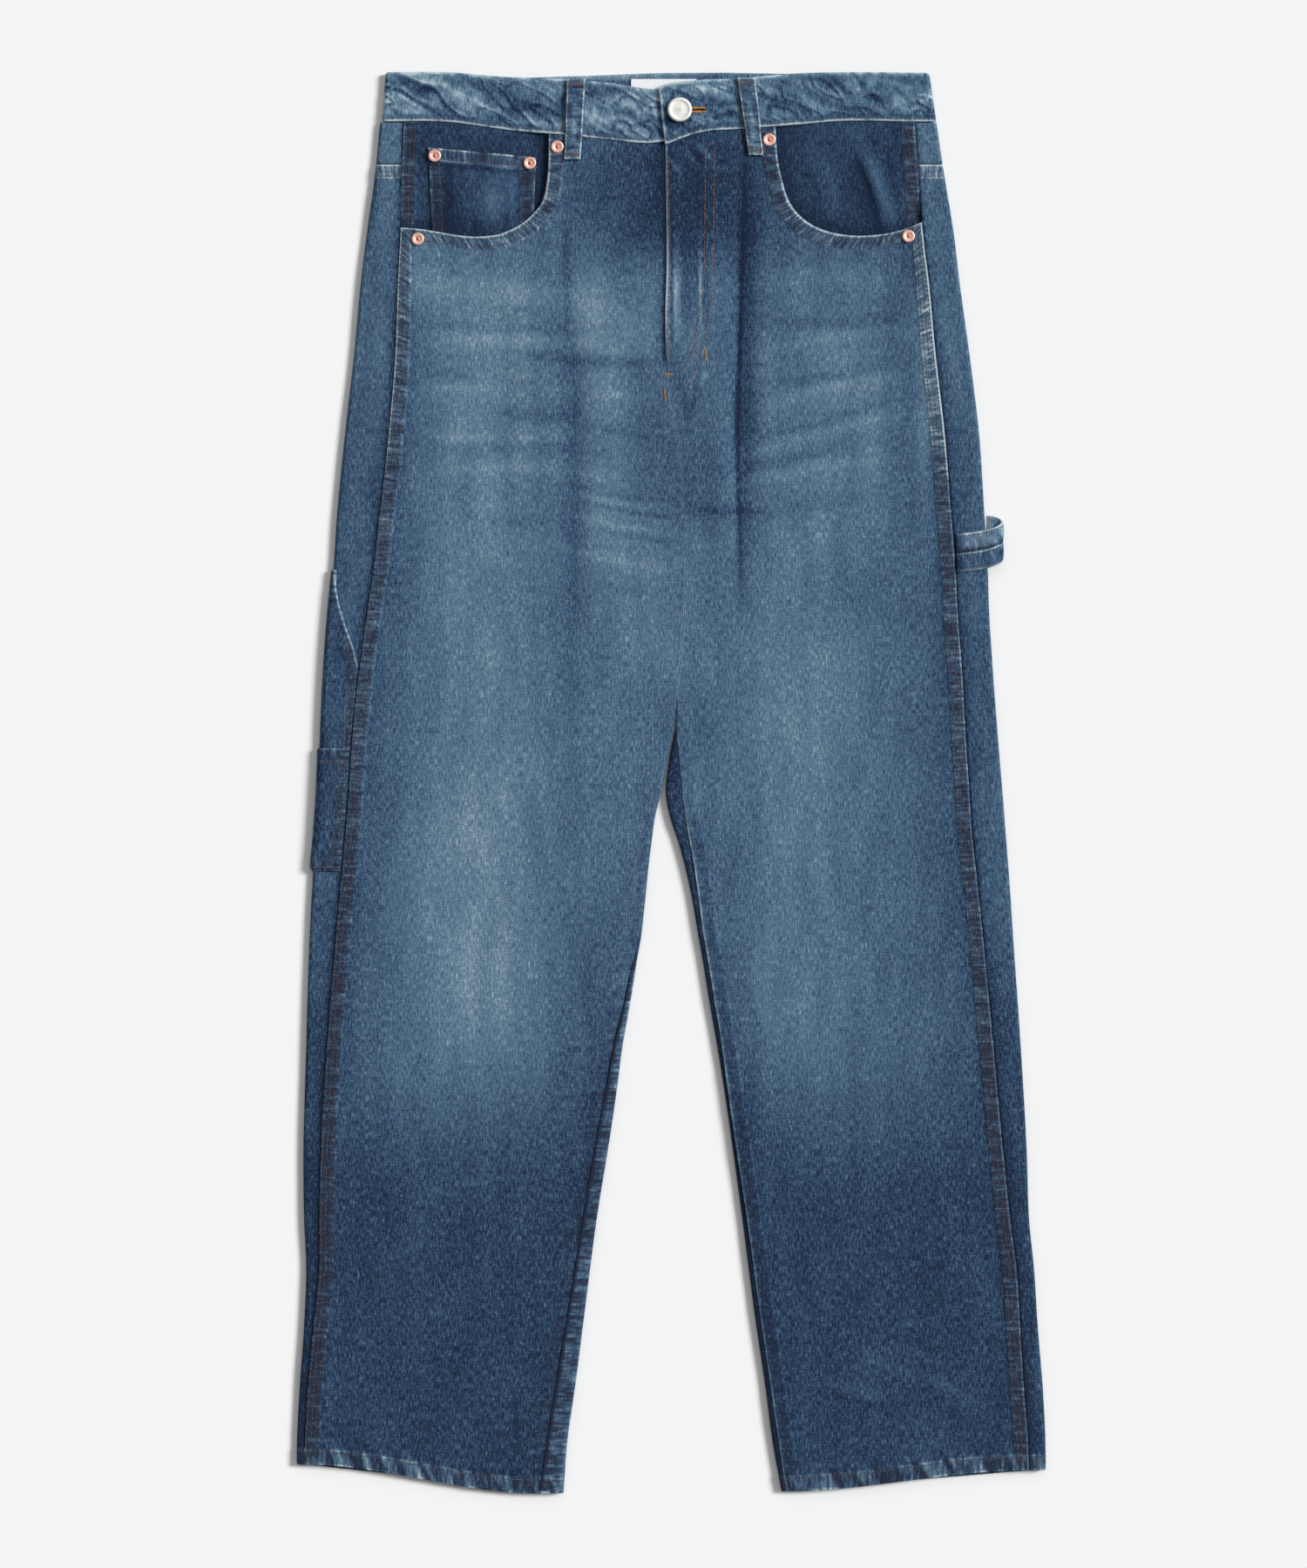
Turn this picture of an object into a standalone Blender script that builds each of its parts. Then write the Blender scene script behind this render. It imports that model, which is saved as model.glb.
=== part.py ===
"""Denim work jeans laid flat on their back, each cut and sewn piece as its own solid.

X runs across the garment with the wearer's left at +X, Y runs up towards the waist, and Z runs up
from the surface the jeans lie on. The origin is under the middle of the outline, on that surface.
Sizes in the tables are millimetres, and "up" is the height Y. A leg is a flattened tube, so its cloth
is followed round a section with two round folds: across the top, round the outer edge, back along the
underside and round the inner edge.
"""

import bmesh
import bpy
import numpy as np

MM = 0.001

CLOTH = 1.2
SEAM_GAP = 0.3
LEG_HEIGHT = 6.0
FOLD_RADIUS = (LEG_HEIGHT - CLOTH) / 2
EDGE_REACH = FOLD_RADIUS + CLOTH / 2
QUARTER_FOLD = FOLD_RADIUS * np.pi / 2

SEAM_RIDGE = 0.8
SEAM_BAND = 9.5
SEAM_SLOPE = 1.5
HEM_BAND = 10.5

BAND_CLOTH = 2.4
BAND_HEIGHT = 6.6
BAND_RADIUS = (BAND_HEIGHT - BAND_CLOTH) / 2
BAND_STEP = BAND_CLOTH + SEAM_GAP
BAND_GAP = 0.5
UNDERLAP_END = 16.0

# The legs part here: above it their inner edges are one flat line, below it they fold round.
PARTING_TOP = 58.0
PARTING_LENGTH = 32.0

RIGHT, LEFT = -1, 1
SIDE_NAMES = {RIGHT: "right", LEFT: "left"}

# Outer fold and side seam of each leg, as X positions.
SIDES = (
    ("up", "right_edge", "right_seam", "left_seam", "left_edge"),
    (-505.0, -266.0, -261.5, 254.5, 266.0),
    (-466.0, -266.0, -260.5, 253.5, 266.0),
    (-435.0, -264.5, -259.0, 251.0, 264.5),
    (-385.0, -261.0, -254.5, 248.0, 260.5),
    (-346.0, -259.5, -250.5, 245.5, 258.0),
    (-311.0, -261.0, -250.5, 241.0, 254.5),
    (-267.5, -261.5, -249.5, 236.5, 253.0),
    (-187.0, -259.5, -245.0, 229.0, 248.5),
    (-108.0, -257.0, -238.5, 221.5, 243.0),
    (-70.0, -255.0, -235.0, 217.5, 240.5),
    (-38.0, -252.0, -232.0, 214.0, 238.0),
    (0.0, -249.5, -229.0, 211.5, 235.0),
    (30.0, -248.5, -227.0, 209.5, 232.5),
    (83.0, -246.0, -221.5, 206.5, 228.5),
    (123.0, -243.0, -216.0, 203.5, 226.0),
    (154.0, -240.0, -211.5, 202.0, 225.0),
    (185.0, -238.0, -208.0, 199.5, 223.0),
    (247.0, -232.0, -201.0, 194.5, 219.0),
    (309.0, -225.0, -196.0, 187.5, 211.5),
    (352.5, -221.0, -194.5, 183.5, 205.5),
    (393.5, -216.0, -192.5, 178.5, 200.5),
    (433.0, -210.5, -191.5, 175.5, 194.0),
    (470.0, -207.0, -190.0, 173.0, 188.5),
)

# Inner fold and inner seam line of each leg. Above the parting all four are the front rise.
INNER = (
    ("up", "right_edge", "right_line", "left_line", "left_edge"),
    (-505.0, -76.5, -94.0, 81.5, 78.5),
    (-466.0, -73.5, -88.0, 75.5, 71.5),
    (-435.0, -69.0, -83.0, 71.0, 67.5),
    (-373.0, -61.0, -73.0, 62.0, 58.5),
    (-311.0, -53.0, -63.0, 53.5, 50.5),
    (-249.0, -43.0, -52.5, 44.5, 42.0),
    (-218.0, -38.5, -46.5, 40.0, 37.5),
    (-187.0, -34.5, -41.0, 35.5, 32.5),
    (-156.0, -29.0, -33.5, 30.5, 27.0),
    (-125.0, -24.0, -26.5, 25.5, 22.0),
    (-108.0, -21.0, -21.5, 22.5, 19.0),
    (-81.5, -18.0, -18.0, 19.0, 14.5),
    (-57.0, -15.5, -15.5, 15.5, 9.0),
    (-41.0, -13.5, -13.5, 12.5, 4.5),
    (-26.0, -11.5, -11.5, 10.0, -0.5),
    (-9.0, -7.5, -7.5, 7.5, -4.0),
    (16.5, -2.5, -2.5, 5.0, -1.5),
    (41.5, 2.5, 2.5, 3.0, 3.0),
    (58.0, 4.0, 4.0, 4.0, 4.0),
    (86.0, 6.5, 6.5, 6.5, 6.5),
    (123.0, 9.5, 9.5, 9.5, 9.5),
    (160.0, 10.5, 10.5, 10.5, 10.5),
    (210.0, 8.0, 8.0, 8.0, 8.0),
    (253.5, 3.0, 3.0, 3.0, 3.0),
    (290.0, -3.0, -3.0, -3.0, -3.0),
    (330.0, -4.5, -4.5, -4.5, -4.5),
    (371.0, -3.5, -3.5, -3.5, -3.5),
    (417.0, -4.0, -4.0, -4.0, -4.0),
    (470.0, -4.5, -4.5, -4.5, -4.5),
)

# Scooped pocket mouths, from the waistband to the side seam. Each point starts a row of the front
# panel, which leaves it at the lean (degrees below level) and ends at the given height on the rise.
POCKET_RIGHT = (
    ("x", "up", "lean", "rise_up"),
    (-87.0, 460.2, 0, 453.0),
    (-87.3, 439.5, 5, 432.0),
    (-88.2, 428.3, 12, 412.0),
    (-91.3, 413.4, 25, 388.0),
    (-97.8, 404.7, 38, 366.0),
    (-108.6, 396.0, 50, 345.0),
    (-119.2, 390.8, 58, 328.0),
    (-136.5, 388.2, 62, 308.0),
    (-151.4, 389.1, 63, 292.0),
    (-165.0, 391.4, 60, 277.0),
    (-178.7, 393.6, 55, 262.0),
    (-192.3, 394.6, 48, 247.0),
)
POCKET_LEFT = (
    ("x", "up", "lean", "rise_up"),
    (74.0, 466.0, 0, 453.0),
    (76.0, 440.0, 5, 432.0),
    (79.5, 425.5, 14, 412.0),
    (83.5, 412.5, 26, 388.0),
    (91.0, 403.0, 38, 366.0),
    (99.5, 396.5, 50, 345.0),
    (112.0, 391.5, 58, 328.0),
    (126.5, 389.0, 62, 308.0),
    (142.0, 389.0, 64, 292.0),
    (156.5, 391.0, 64, 277.0),
    (167.5, 394.0, 60, 262.0),
    (178.0, 398.5, 50, 247.0),
)
POCKETS = {RIGHT: POCKET_RIGHT, LEFT: POCKET_LEFT}

# Rows of cloth between the pocket mouth and the knee: heights at the side seam and at the inner edge.
FRONT_ROWS = (
    ("seam_up", "lean", "inner_up"),
    (380.0, 40, 233.0),
    (362.0, 30, 216.0),
    (338.0, 20, 196.0),
    (310.0, 12, 173.0),
    (275.0, 7, 145.0),
    (238.0, 3, 116.0),
    (200.0, 0, 88.0),
    (160.0, 0, 60.0),
    (122.0, 0, 38.0),
    (85.0, 0, 16.0),
    (52.0, 0, -8.0),
)
BACK_ROWS = (
    ("seam_up", "inner_up"),
    (410.0, 368.0),
    (394.6, 350.0),
    (380.0, 332.0),
    (362.0, 308.0),
    (338.0, 278.0),
    (310.0, 243.0),
    (275.0, 196.0),
    (238.0, 143.0),
    (200.0, 88.0),
    (160.0, 60.0),
    (122.0, 38.0),
    (85.0, 16.0),
    (52.0, -8.0),
)
LOWER_ROWS = 15
HEM = {RIGHT: (-484.5, -505.0), LEFT: (-488.5, -503.5)}

YOKE_SEAM = (439.5, 400.0)
YOKE_TOP = 469.2

# Large soft folds of the front: a line from one point to another, its half width and its height.
FOLDS = (
    ("x0", "up0", "x1", "up1", "width", "height"),
    (47.0, 452.0, 50.0, 130.0, 8.0, -1.7),
    (-71.0, 400.0, -70.0, 40.0, 9.0, -1.1),
    (-120.0, 352.0, -118.0, 120.0, 12.0, -0.7),
    (118.0, 350.0, 124.0, 90.0, 12.0, -0.8),
    (-30.0, 330.0, -24.0, 40.0, 9.0, -0.6),
    (20.0, 180.0, 60.0, -60.0, 13.0, -0.5),
    (-95.0, 10.0, -150.0, -150.0, 16.0, -0.6),
    (110.0, 20.0, 150.0, -160.0, 16.0, -0.6),
    (-215.0, -330.0, -120.0, -300.0, 14.0, -0.8),
    (-200.0, -420.0, -110.0, -380.0, 13.0, -0.7),
    (110.0, -330.0, 215.0, -360.0, 14.0, -0.8),
    (120.0, -400.0, 220.0, -430.0, 12.0, -0.6),
    (-150.0, 330.0, -60.0, 316.0, 9.0, -0.5),
    (-160.0, 282.0, -50.0, 262.0, 9.0, -0.5),
    (60.0, 312.0, 150.0, 330.0, 9.0, -0.5),
    (60.0, 262.0, 160.0, 284.0, 9.0, -0.5),
)

# Waistband edges, along the right front, the left front and the back.
BAND_RIGHT = (
    ("x", "low", "top"),
    (-207.0, 470.0, 505.0),
    (-160.0, 469.8, 505.0),
    (-114.0, 463.8, 501.5),
    (-78.5, 460.7, 500.3),
    (-45.0, 457.2, 497.5),
    (-10.0, 455.2, 493.0),
    (4.0, 458.5, 493.5),
    (16.0, 463.5, 494.5),
)
BAND_LEFT = (
    ("x", "low", "top"),
    (-9.0, 453.2, 493.6),
    (-4.5, 453.6, 496.0),
    (6.0, 457.4, 498.0),
    (16.5, 461.0, 499.0),
    (52.5, 465.0, 501.2),
    (85.5, 467.5, 504.0),
    (124.0, 470.5, 505.0),
    (145.0, 470.5, 505.0),
    (166.5, 470.0, 504.7),
    (189.0, 470.0, 504.5),
)
BAND_BACK = (
    ("x", "low", "top"),
    (-207.0, 470.0, 504.8),
    (-120.0, 470.0, 501.6),
    (-81.0, 470.0, 501.8),
    (-60.0, 470.0, 503.0),
    (-31.0, 470.0, 504.4),
    (0.0, 470.0, 505.0),
    (49.0, 470.0, 505.0),
    (73.0, 470.0, 504.5),
    (189.0, 470.0, 504.3),
)
BAND_EDGES = {RIGHT: (205.5, 203.0), LEFT: (188.5, 183.5)}
LAP_END = (-4.5, -9.0)
LAP_SLOPE = (20.0, 45.0)

BUTTON_PLACE = (6.0, 478.0)
BUTTONHOLE_END = 24.0
BUTTONHOLE_RADIUS = 2.5
BUTTONHOLE_SLIT = 0.6
BUTTON_RADIUS = 8.7

# Facing behind a pocket mouth: it lies low by the mouth and rises to the surface beyond it.
FACING_TOP_LOW = 3.0
FACING_RISE = 3.0
FACING_RISE_START = 7.0
FACING_RISE_LENGTH = 28.0
FACING_ROWS = (
    ("seam_up", "inner_up"),
    (453.0, 441.3),
    (445.0, 433.3),
    (432.0, 424.0),
    (418.0, 412.0),
    (406.0, 402.0),
    (396.0, 394.0),
    (386.0, 386.0),
    (376.0, 376.0),
    (362.0, 362.0),
)
FACING_INNER = {RIGHT: 60.0, LEFT: 49.0}
COIN_TOP_ROW, COIN_BOTTOM_ROW = 1, 8
COIN_OUTER = (173.0, 169.0)
COIN_INNER = (95.5, 99.5)
COIN_COLUMNS = 7
COIN_HEM = 0.5

# Rivets: place, and the height of the cloth under each.
RIVET_RADIUS = 4.5
RIVETS = (
    ("x", "up"),
    (-168.0, 445.5),
    (-100.5, 440.5),
    (-81.0, 452.0),
    (-180.0, 386.5),
    (69.6, 457.0),
    (168.5, 388.5),
)
COIN_RIVETS = 2

# Belt loops: the middle line and half width at each height, with the gap under the loop.
LOOP_CLOTH = 1.5
BELT_LOOPS = {
    RIGHT: (
        ("up", "x", "half_width", "under"),
        (443.0, -70.2, 5.8, 6.5),
        (449.0, -69.9, 5.8, 6.9),
        (455.0, -69.5, 5.9, 7.4),
        (466.0, -69.0, 6.0, 7.9),
        (480.0, -68.4, 6.2, 8.0),
        (491.0, -67.9, 6.4, 7.6),
        (496.0, -67.7, 6.5, 7.1),
        (500.0, -67.5, 6.5, 6.9),
    ),
    LEFT: (
        ("up", "x", "half_width", "under"),
        (446.0, 60.3, 5.0, 6.5),
        (452.0, 59.6, 5.2, 6.9),
        (458.0, 58.6, 5.3, 7.4),
        (468.0, 57.6, 5.7, 7.9),
        (481.0, 55.9, 6.0, 8.0),
        (492.0, 54.4, 6.2, 7.6),
        (497.0, 53.7, 6.2, 7.1),
        (501.0, 53.3, 6.2, 6.9),
    ),
}
LOOP_END_RIDGE = 0.7

# Patch pockets on the right outer leg: the height of each row and how far in its edge lies.
TOOL_POCKET = (
    ("up", "inner_x"),
    (151.5, -238.0),
    (137.5, -238.0),
    (126.5, -236.0),
    (108.5, -230.5),
    (95.5, -225.5),
    (83.0, -222.6),
    (52.0, -225.5),
    (30.0, -228.1),
    (0.0, -230.1),
    (-32.0, -232.6),
    (-52.0, -234.2),
    (-63.0, -235.2),
)
TOOL_POCKET_SMALL = (
    ("up", "inner_x"),
    (24.5, -229.6),
    (10.0, -230.4),
    (0.0, -231.1),
    (-32.0, -233.6),
    (-50.0, -235.0),
    (-61.0, -235.8),
)
TOOL_POCKET_TURN = 124.0
SMALL_POCKET_TURN = 112.0

# Hammer loop: its strap's middle surface, out from the side seam, round and back under the leg.
STRAP_CLOTH = 1.5
STRAP_WIDTH = 27.5
STRAP_RIDGE = 0.5
HAMMER_PATH = (
    ("out", "height", "up"),
    (203.0, 7.1, 163.2),
    (209.0, 7.1, 163.8),
    (215.5, 7.3, 164.6),
    (221.5, 7.7, 165.6),
    (227.0, 7.9, 167.0),
    (231.5, 7.4, 168.8),
    (234.3, 6.1, 170.5),
    (235.2, 4.4, 172.0),
    (234.2, 2.6, 173.6),
    (231.6, 1.4, 175.0),
    (228.6, 1.0, 176.0),
    (226.0, 1.0, 176.6),
)

LABEL_LOW, LABEL_HIGH = (-28.5, 472.0), (18.0, 500.5)
LABEL_CLOTH = 1.0

DENIM = ("denim", (0.115, 0.19, 0.31), 0.92, 0.0)
DARK_DENIM = ("dark_denim", (0.055, 0.095, 0.18), 0.92, 0.0)
TAB_CLOTH = ("tab_cloth", (0.82, 0.81, 0.78), 0.7, 0.0)
COPPER = ("copper", (0.78, 0.42, 0.29), 0.32, 1.0)
STEEL = ("steel", (0.76, 0.74, 0.7), 0.3, 1.0)


def column(table, name):
    """One named column of a table, as an array."""
    heading, *rows = table
    place = heading.index(name)
    return np.array([row[place] for row in rows], float)


def smooth_step(share):
    """0 below 0, 1 above 1 and an even S between."""
    share = np.clip(share, 0.0, 1.0)
    return share * share * (3.0 - 2.0 * share)


def curve(table, key, name, place):
    """Smooth curve through a table's column, read at place along its key column (cubic Hermite)."""
    keys, values = column(table, key), column(table, name)
    slopes = np.gradient(values, keys)
    place = np.clip(place, keys[0], keys[-1])
    i = np.clip(np.searchsorted(keys, place) - 1, 0, len(keys) - 2)
    span = keys[i + 1] - keys[i]
    f = (place - keys[i]) / span
    ends = values[i] * (1 + 2 * f) * (1 - f) ** 2 + values[i + 1] * f * f * (3 - 2 * f)
    return ends + span * (slopes[i] * f * (1 - f) ** 2 - slopes[i + 1] * f * f * (1 - f))


def edge(side, name, up):
    """Distance out from the middle of a leg's outer edge or side seam at a height."""
    return side * curve(SIDES, "up", f"{SIDE_NAMES[side]}_{name}", up)


def inner(side, name, up):
    """Distance out from the middle of a leg's inner edge or inner seam line at a height."""
    return side * curve(INNER, "up", f"{SIDE_NAMES[side]}_{name}", up)


def fold_share(up):
    """How far the inner edge folds round: 0 above the parting of the legs, 1 below it."""
    return smooth_step((PARTING_TOP - up) / PARTING_LENGTH)


def tangents(side, up):
    """Where the flat top of the tube ends: the starts of its outer and its inner fold."""
    outer_start = edge(side, "edge", up) - EDGE_REACH
    turn = fold_share(up) * np.pi / 2
    inner_start = inner(side, "edge", up) + SEAM_GAP / 2 + EDGE_REACH * np.sin(turn)
    return outer_start, inner_start


def relief(x, up):
    """Height of the large soft folds: each falls off as a bell across and fades at its ends."""
    total = np.zeros(np.broadcast(x, up).shape)
    for x0, up0, x1, up1, width, height in FOLDS[1:]:
        length = np.hypot(x1 - x0, up1 - up0)
        along = ((x - x0) * (x1 - x0) + (up - up0) * (up1 - up0)) / length
        off = ((x - x0) * (up1 - up0) - (up - up0) * (x1 - x0)) / length
        ends = smooth_step(along / (0.35 * length)) * smooth_step((length - along) / (0.35 * length))
        total = total + height * ends * np.exp(-((off / width) ** 2))
    return np.clip(total, -2.0, 0.0)


def section(side, up, t):
    """Point and outward direction on the middle of the cloth, t along it round the tube.

    t is 0 where the flat top meets the outer fold. It grows round that fold, along the underside,
    round the inner fold and on to the top again, and it falls going inwards across the top.
    """
    outer_start, inner_start = tangents(side, up)
    width = outer_start - inner_start
    r = FOLD_RADIUS
    beyond = t - np.pi * r - width
    outer_turn = np.clip(t, 0, np.pi * r) / r
    turn_from_top = np.clip(-width - t, 0, np.pi * r) / r
    turn_from_below = np.clip(beyond, 0, np.pi * r) / r
    cases = [t < -width, t <= 0, t < np.pi * r, beyond <= 0, beyond < np.pi * r]
    out = np.select(cases, [
        inner_start - r * np.sin(turn_from_top),
        outer_start + t,
        outer_start + r * np.sin(outer_turn),
        outer_start - (t - np.pi * r),
        inner_start - r * np.sin(turn_from_below),
    ], inner_start + beyond - np.pi * r)
    rise = np.select(cases, [
        np.cos(turn_from_top), np.ones_like(t), np.cos(outer_turn), -np.ones_like(t),
        -np.cos(turn_from_below),
    ], 1.0)
    lean = np.select(cases, [
        -np.sin(turn_from_top), np.zeros_like(t), np.sin(outer_turn), np.zeros_like(t),
        -np.sin(turn_from_below),
    ], 0.0)
    x = side * out
    z = CLOTH / 2 + r + r * rise + relief(x, up) * np.clip(rise, 0, 1)
    point = np.stack([x, np.broadcast_to(up, x.shape), z], axis=-1)
    normal = np.stack([side * lean, np.zeros_like(x), rise], axis=-1)
    return point, normal


def front_end(side, up):
    """t where the front panel meets the inner seam."""
    outer_start, inner_start = tangents(side, up)
    strip = strip_length(side, up)
    return inner_start - outer_start - fold_share(up) * (QUARTER_FOLD - strip - SEAM_GAP / 2)


def back_end(side, up):
    """t where the back panel, coming from below, meets the inner seam."""
    outer_start, inner_start = tangents(side, up)
    strip = strip_length(side, up)
    flat = np.pi * FOLD_RADIUS + outer_start - inner_start
    return flat + fold_share(up) * (QUARTER_FOLD + strip - SEAM_GAP / 2)


def strip_length(side, up):
    """Cloth of the back panel past the middle of the inner fold, up to the inner seam line."""
    width = np.clip(inner(side, "line", up) - inner(side, "edge", up), 0, None)
    return QUARTER_FOLD * np.clip(width / EDGE_REACH, 0, 1) + np.clip(width - EDGE_REACH, 0, None)


def seam_place(side, up):
    """t of the side seam, which lies on top, in from the outer fold."""
    return edge(side, "seam", up) - edge(side, "edge", up) + EDGE_REACH


def wall(name, finish, point, normal, thickness=CLOTH, raised=0.0):
    """Closed wall of cloth on a grid of middle points, its outer face lifted by raised."""
    lift = np.broadcast_to(np.asarray(thickness / 2 + raised, float), point.shape[:-1])
    outer = point + normal * lift[..., None]
    inside = point - normal * thickness / 2
    rows, columns = point.shape[:2]
    index = np.arange(rows * columns).reshape(rows, columns)
    under = index + rows * columns
    faces = []
    for grid, turned in ((index, False), (under, True)):
        a, b, c, d = grid[:-1, :-1], grid[:-1, 1:], grid[1:, 1:], grid[1:, :-1]
        halves = np.stack([np.stack([a, b, c], axis=-1), np.stack([a, c, d], axis=-1)]).reshape(-1, 3)
        faces += (halves[:, ::-1] if turned else halves).tolist()
    rim = np.concatenate([index[0, :-1], index[:-1, -1], index[-1, :0:-1], index[:0:-1, 0]])
    rim_under = rim + rows * columns
    following = np.roll(rim, -1)
    following_under = np.roll(rim_under, -1)
    faces += np.stack([rim, rim_under, following_under, following], axis=-1).tolist()
    return solid(name, finish, np.concatenate([outer.reshape(-1, 3), inside.reshape(-1, 3)]), faces)


def solid(name, finish, points, faces):
    """Closed mesh object from points in millimetres, with its faces turned outwards."""
    mesh = bpy.data.meshes.new(name)
    mesh.from_pydata((np.asarray(points) * MM).tolist(), [], faces)
    work = bmesh.new()
    work.from_mesh(mesh)
    bmesh.ops.recalc_face_normals(work, faces=work.faces)
    if work.calc_volume(signed=True) < 0:
        bmesh.ops.reverse_faces(work, faces=work.faces)
    work.to_mesh(mesh)
    work.free()
    mesh.materials.append(material(*finish))
    item = bpy.data.objects.new(name, mesh)
    bpy.context.collection.objects.link(item)
    return item


def material(name, colour, roughness, metallic):
    """Principled finish, made once for each name."""
    finish = bpy.data.materials.get(name)
    if finish is None:
        finish = bpy.data.materials.new(name)
        finish.use_nodes = True
        shader = finish.node_tree.nodes["Principled BSDF"]
        shader.inputs["Base Color"].default_value = (*colour, 1.0)
        shader.inputs["Roughness"].default_value = roughness
        shader.inputs["Metallic"].default_value = metallic
    return finish


def ridge(distance, width=SEAM_BAND):
    """Height of a felled seam or turned hem: full over its width, then a short slope down."""
    return SEAM_RIDGE * (1 - smooth_step((distance - width) / SEAM_SLOPE))


def front_rows(side):
    """Ends of each row of a front panel: out and up at both ends, lean, and distance to the hem."""
    pocket = POCKETS[side]
    hem_seam, hem_inner = HEM[side]
    lower = np.linspace(0, 1, LOWER_ROWS + 1)[1:]
    last_seam, last_inner = FRONT_ROWS[-1][0], FRONT_ROWS[-1][2]
    band_top = HEM_BAND + SEAM_SLOPE
    hem_steps = np.array([HEM_BAND, 0.0])
    seam_up = np.concatenate([
        column(FRONT_ROWS, "seam_up"),
        last_seam + (hem_seam + band_top - last_seam) * lower,
        hem_seam + hem_steps,
    ])
    inner_up = np.concatenate([
        column(FRONT_ROWS, "inner_up"),
        last_inner + (hem_inner + band_top - last_inner) * lower,
        hem_inner + hem_steps,
    ])
    out = np.concatenate([side * column(pocket, "x"), edge(side, "seam", seam_up) - SEAM_GAP / 2])
    up = np.concatenate([column(pocket, "up"), seam_up])
    inner_up = np.concatenate([column(pocket, "rise_up"), inner_up])
    plain = np.zeros(len(lower) + len(hem_steps))
    lean = np.concatenate([column(pocket, "lean"), column(FRONT_ROWS, "lean"), plain])
    return out, up, np.radians(lean), inner_up, up - hem_seam


def band_low(side, x):
    """Lower edge of the waistband above a point of a front panel."""
    return curve(BAND_RIGHT if side == RIGHT else BAND_LEFT, "x", "low", x)


def fly_height(side, x, up):
    """The lapped fly of the left front stands above the right front, as far as its curved stitching."""
    if side == RIGHT:
        return np.zeros_like(x)
    across = 1 - smooth_step((x - 20.0) / 14.0)
    return 1.0 * across * smooth_step((up - 285.0) / 40.0)


def front_panel(side):
    """Front panel: rows swept from the pocket mouth and side seam to the rise and inner seam."""
    out, up, lean, inner_up, to_hem = front_rows(side)
    inner_out = edge(side, "edge", inner_up) - EDGE_REACH + front_end(side, inner_up)
    length = np.hypot(out - inner_out, up - inner_up)
    band = np.array([0, SEAM_BAND, SEAM_BAND + SEAM_SLOPE])
    middle = np.linspace(0, 1, 11)[1:-1]
    middle_run = length - 2 * band[-1]
    run = np.concatenate([
        np.repeat(band[None], len(length), axis=0),
        band[-1] + middle_run[:, None] * middle,
        length[:, None] - band[::-1],
    ], axis=1)
    f = run / length[:, None]
    handle = length / 3
    start = np.stack([out, up], axis=-1)[:, None]
    first = start + np.stack([-np.cos(lean) * handle, -np.sin(lean) * handle], axis=-1)[:, None]
    end = np.stack([inner_out, inner_up], axis=-1)[:, None]
    second = end + np.stack([handle, np.zeros_like(handle)], axis=-1)[:, None]
    f = f[..., None]
    flat = start * (1 - f) ** 3 + 3 * first * f * (1 - f) ** 2 + 3 * second * f * f * (1 - f) + end * f ** 3
    across, height = flat[..., 0], flat[..., 1]
    height[0] = band_low(side, side * across[0]) - BAND_GAP
    point, normal = section(side, height, across - edge(side, "edge", height) + EDGE_REACH)
    raised = np.maximum(ridge(run), ridge(to_hem, HEM_BAND)[:, None])
    raised = np.maximum(raised, fly_height(side, point[..., 0], height))
    if side == LEFT:
        below = smooth_step((-inner_up[:, None]) / 40.0)
        raised = np.maximum(raised, ridge(length[:, None] - run) * below)
    raised = raised * np.clip(normal[..., 2], 0, 1)
    return wall(f"front_{SIDE_NAMES[side]}", DENIM, point, normal, raised=raised)


def back_columns(side, up_outer, up_inner):
    """t and height of each column of a back piece, from the side seam to its inner end."""
    start = seam_place(side, up_outer) + SEAM_GAP / 2
    half_turn = np.pi * FOLD_RADIUS
    outer = [start, start * 0.5] + [np.full_like(start, half_turn * share) for share in np.linspace(0, 1, 6)]
    outer_start, inner_start = tangents(side, up_inner)
    flat_end = half_turn + outer_start - inner_start
    end = back_end(side, up_inner)
    share = fold_share(up_inner)
    arc = np.minimum(end - flat_end, half_turn)
    folded = [flat_end + arc * step for step in (0, 0.25, 0.5, 0.75)]
    folded += [flat_end + arc - 0.3 * share, end]
    level = [end - 3.0 * step for step in (5, 4, 3, 2, 1, 0)]
    inside = [share * a + (1 - share) * b for a, b in zip(folded, level)]
    middle = [half_turn + (inside[0] - half_turn) * step for step in (0.25, 0.5, 0.75)]
    t = np.stack(outer + middle + inside, axis=-1)
    travel = np.clip((t - half_turn) / (inside[0] - half_turn)[:, None], 0, 1)
    height = up_outer[:, None] + (up_inner - up_outer)[:, None] * travel
    return t, height


def back_piece(name, side, up_outer, up_inner, raised_rows):
    """Back panel or yoke: from the side seam on top, round the outer fold and along the underside.

    At each height the flat run is stretched to reach the tube's own inner fold.
    """
    t, height = back_columns(side, up_outer, up_inner)
    outer_here, inner_here = tangents(side, height)
    outer_row, inner_row = tangents(side, up_inner)
    flat = np.clip((t - np.pi * FOLD_RADIUS) / (outer_row - inner_row)[:, None], 0, 1)
    t = t + flat * ((outer_here - inner_here) - (outer_row - inner_row)[:, None])
    point, normal = section(side, height, t)
    raised = np.broadcast_to(raised_rows[:, None], t.shape)
    if side == RIGHT:
        strip = np.where(flat >= 1, SEAM_RIDGE, 0) * smooth_step((-105.0 - height) / 40.0)
        raised = np.maximum(raised, strip)
    raised = raised * np.clip(normal[..., 2], 0, 1)
    return wall(name, DENIM, point, normal, raised=raised)


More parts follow.
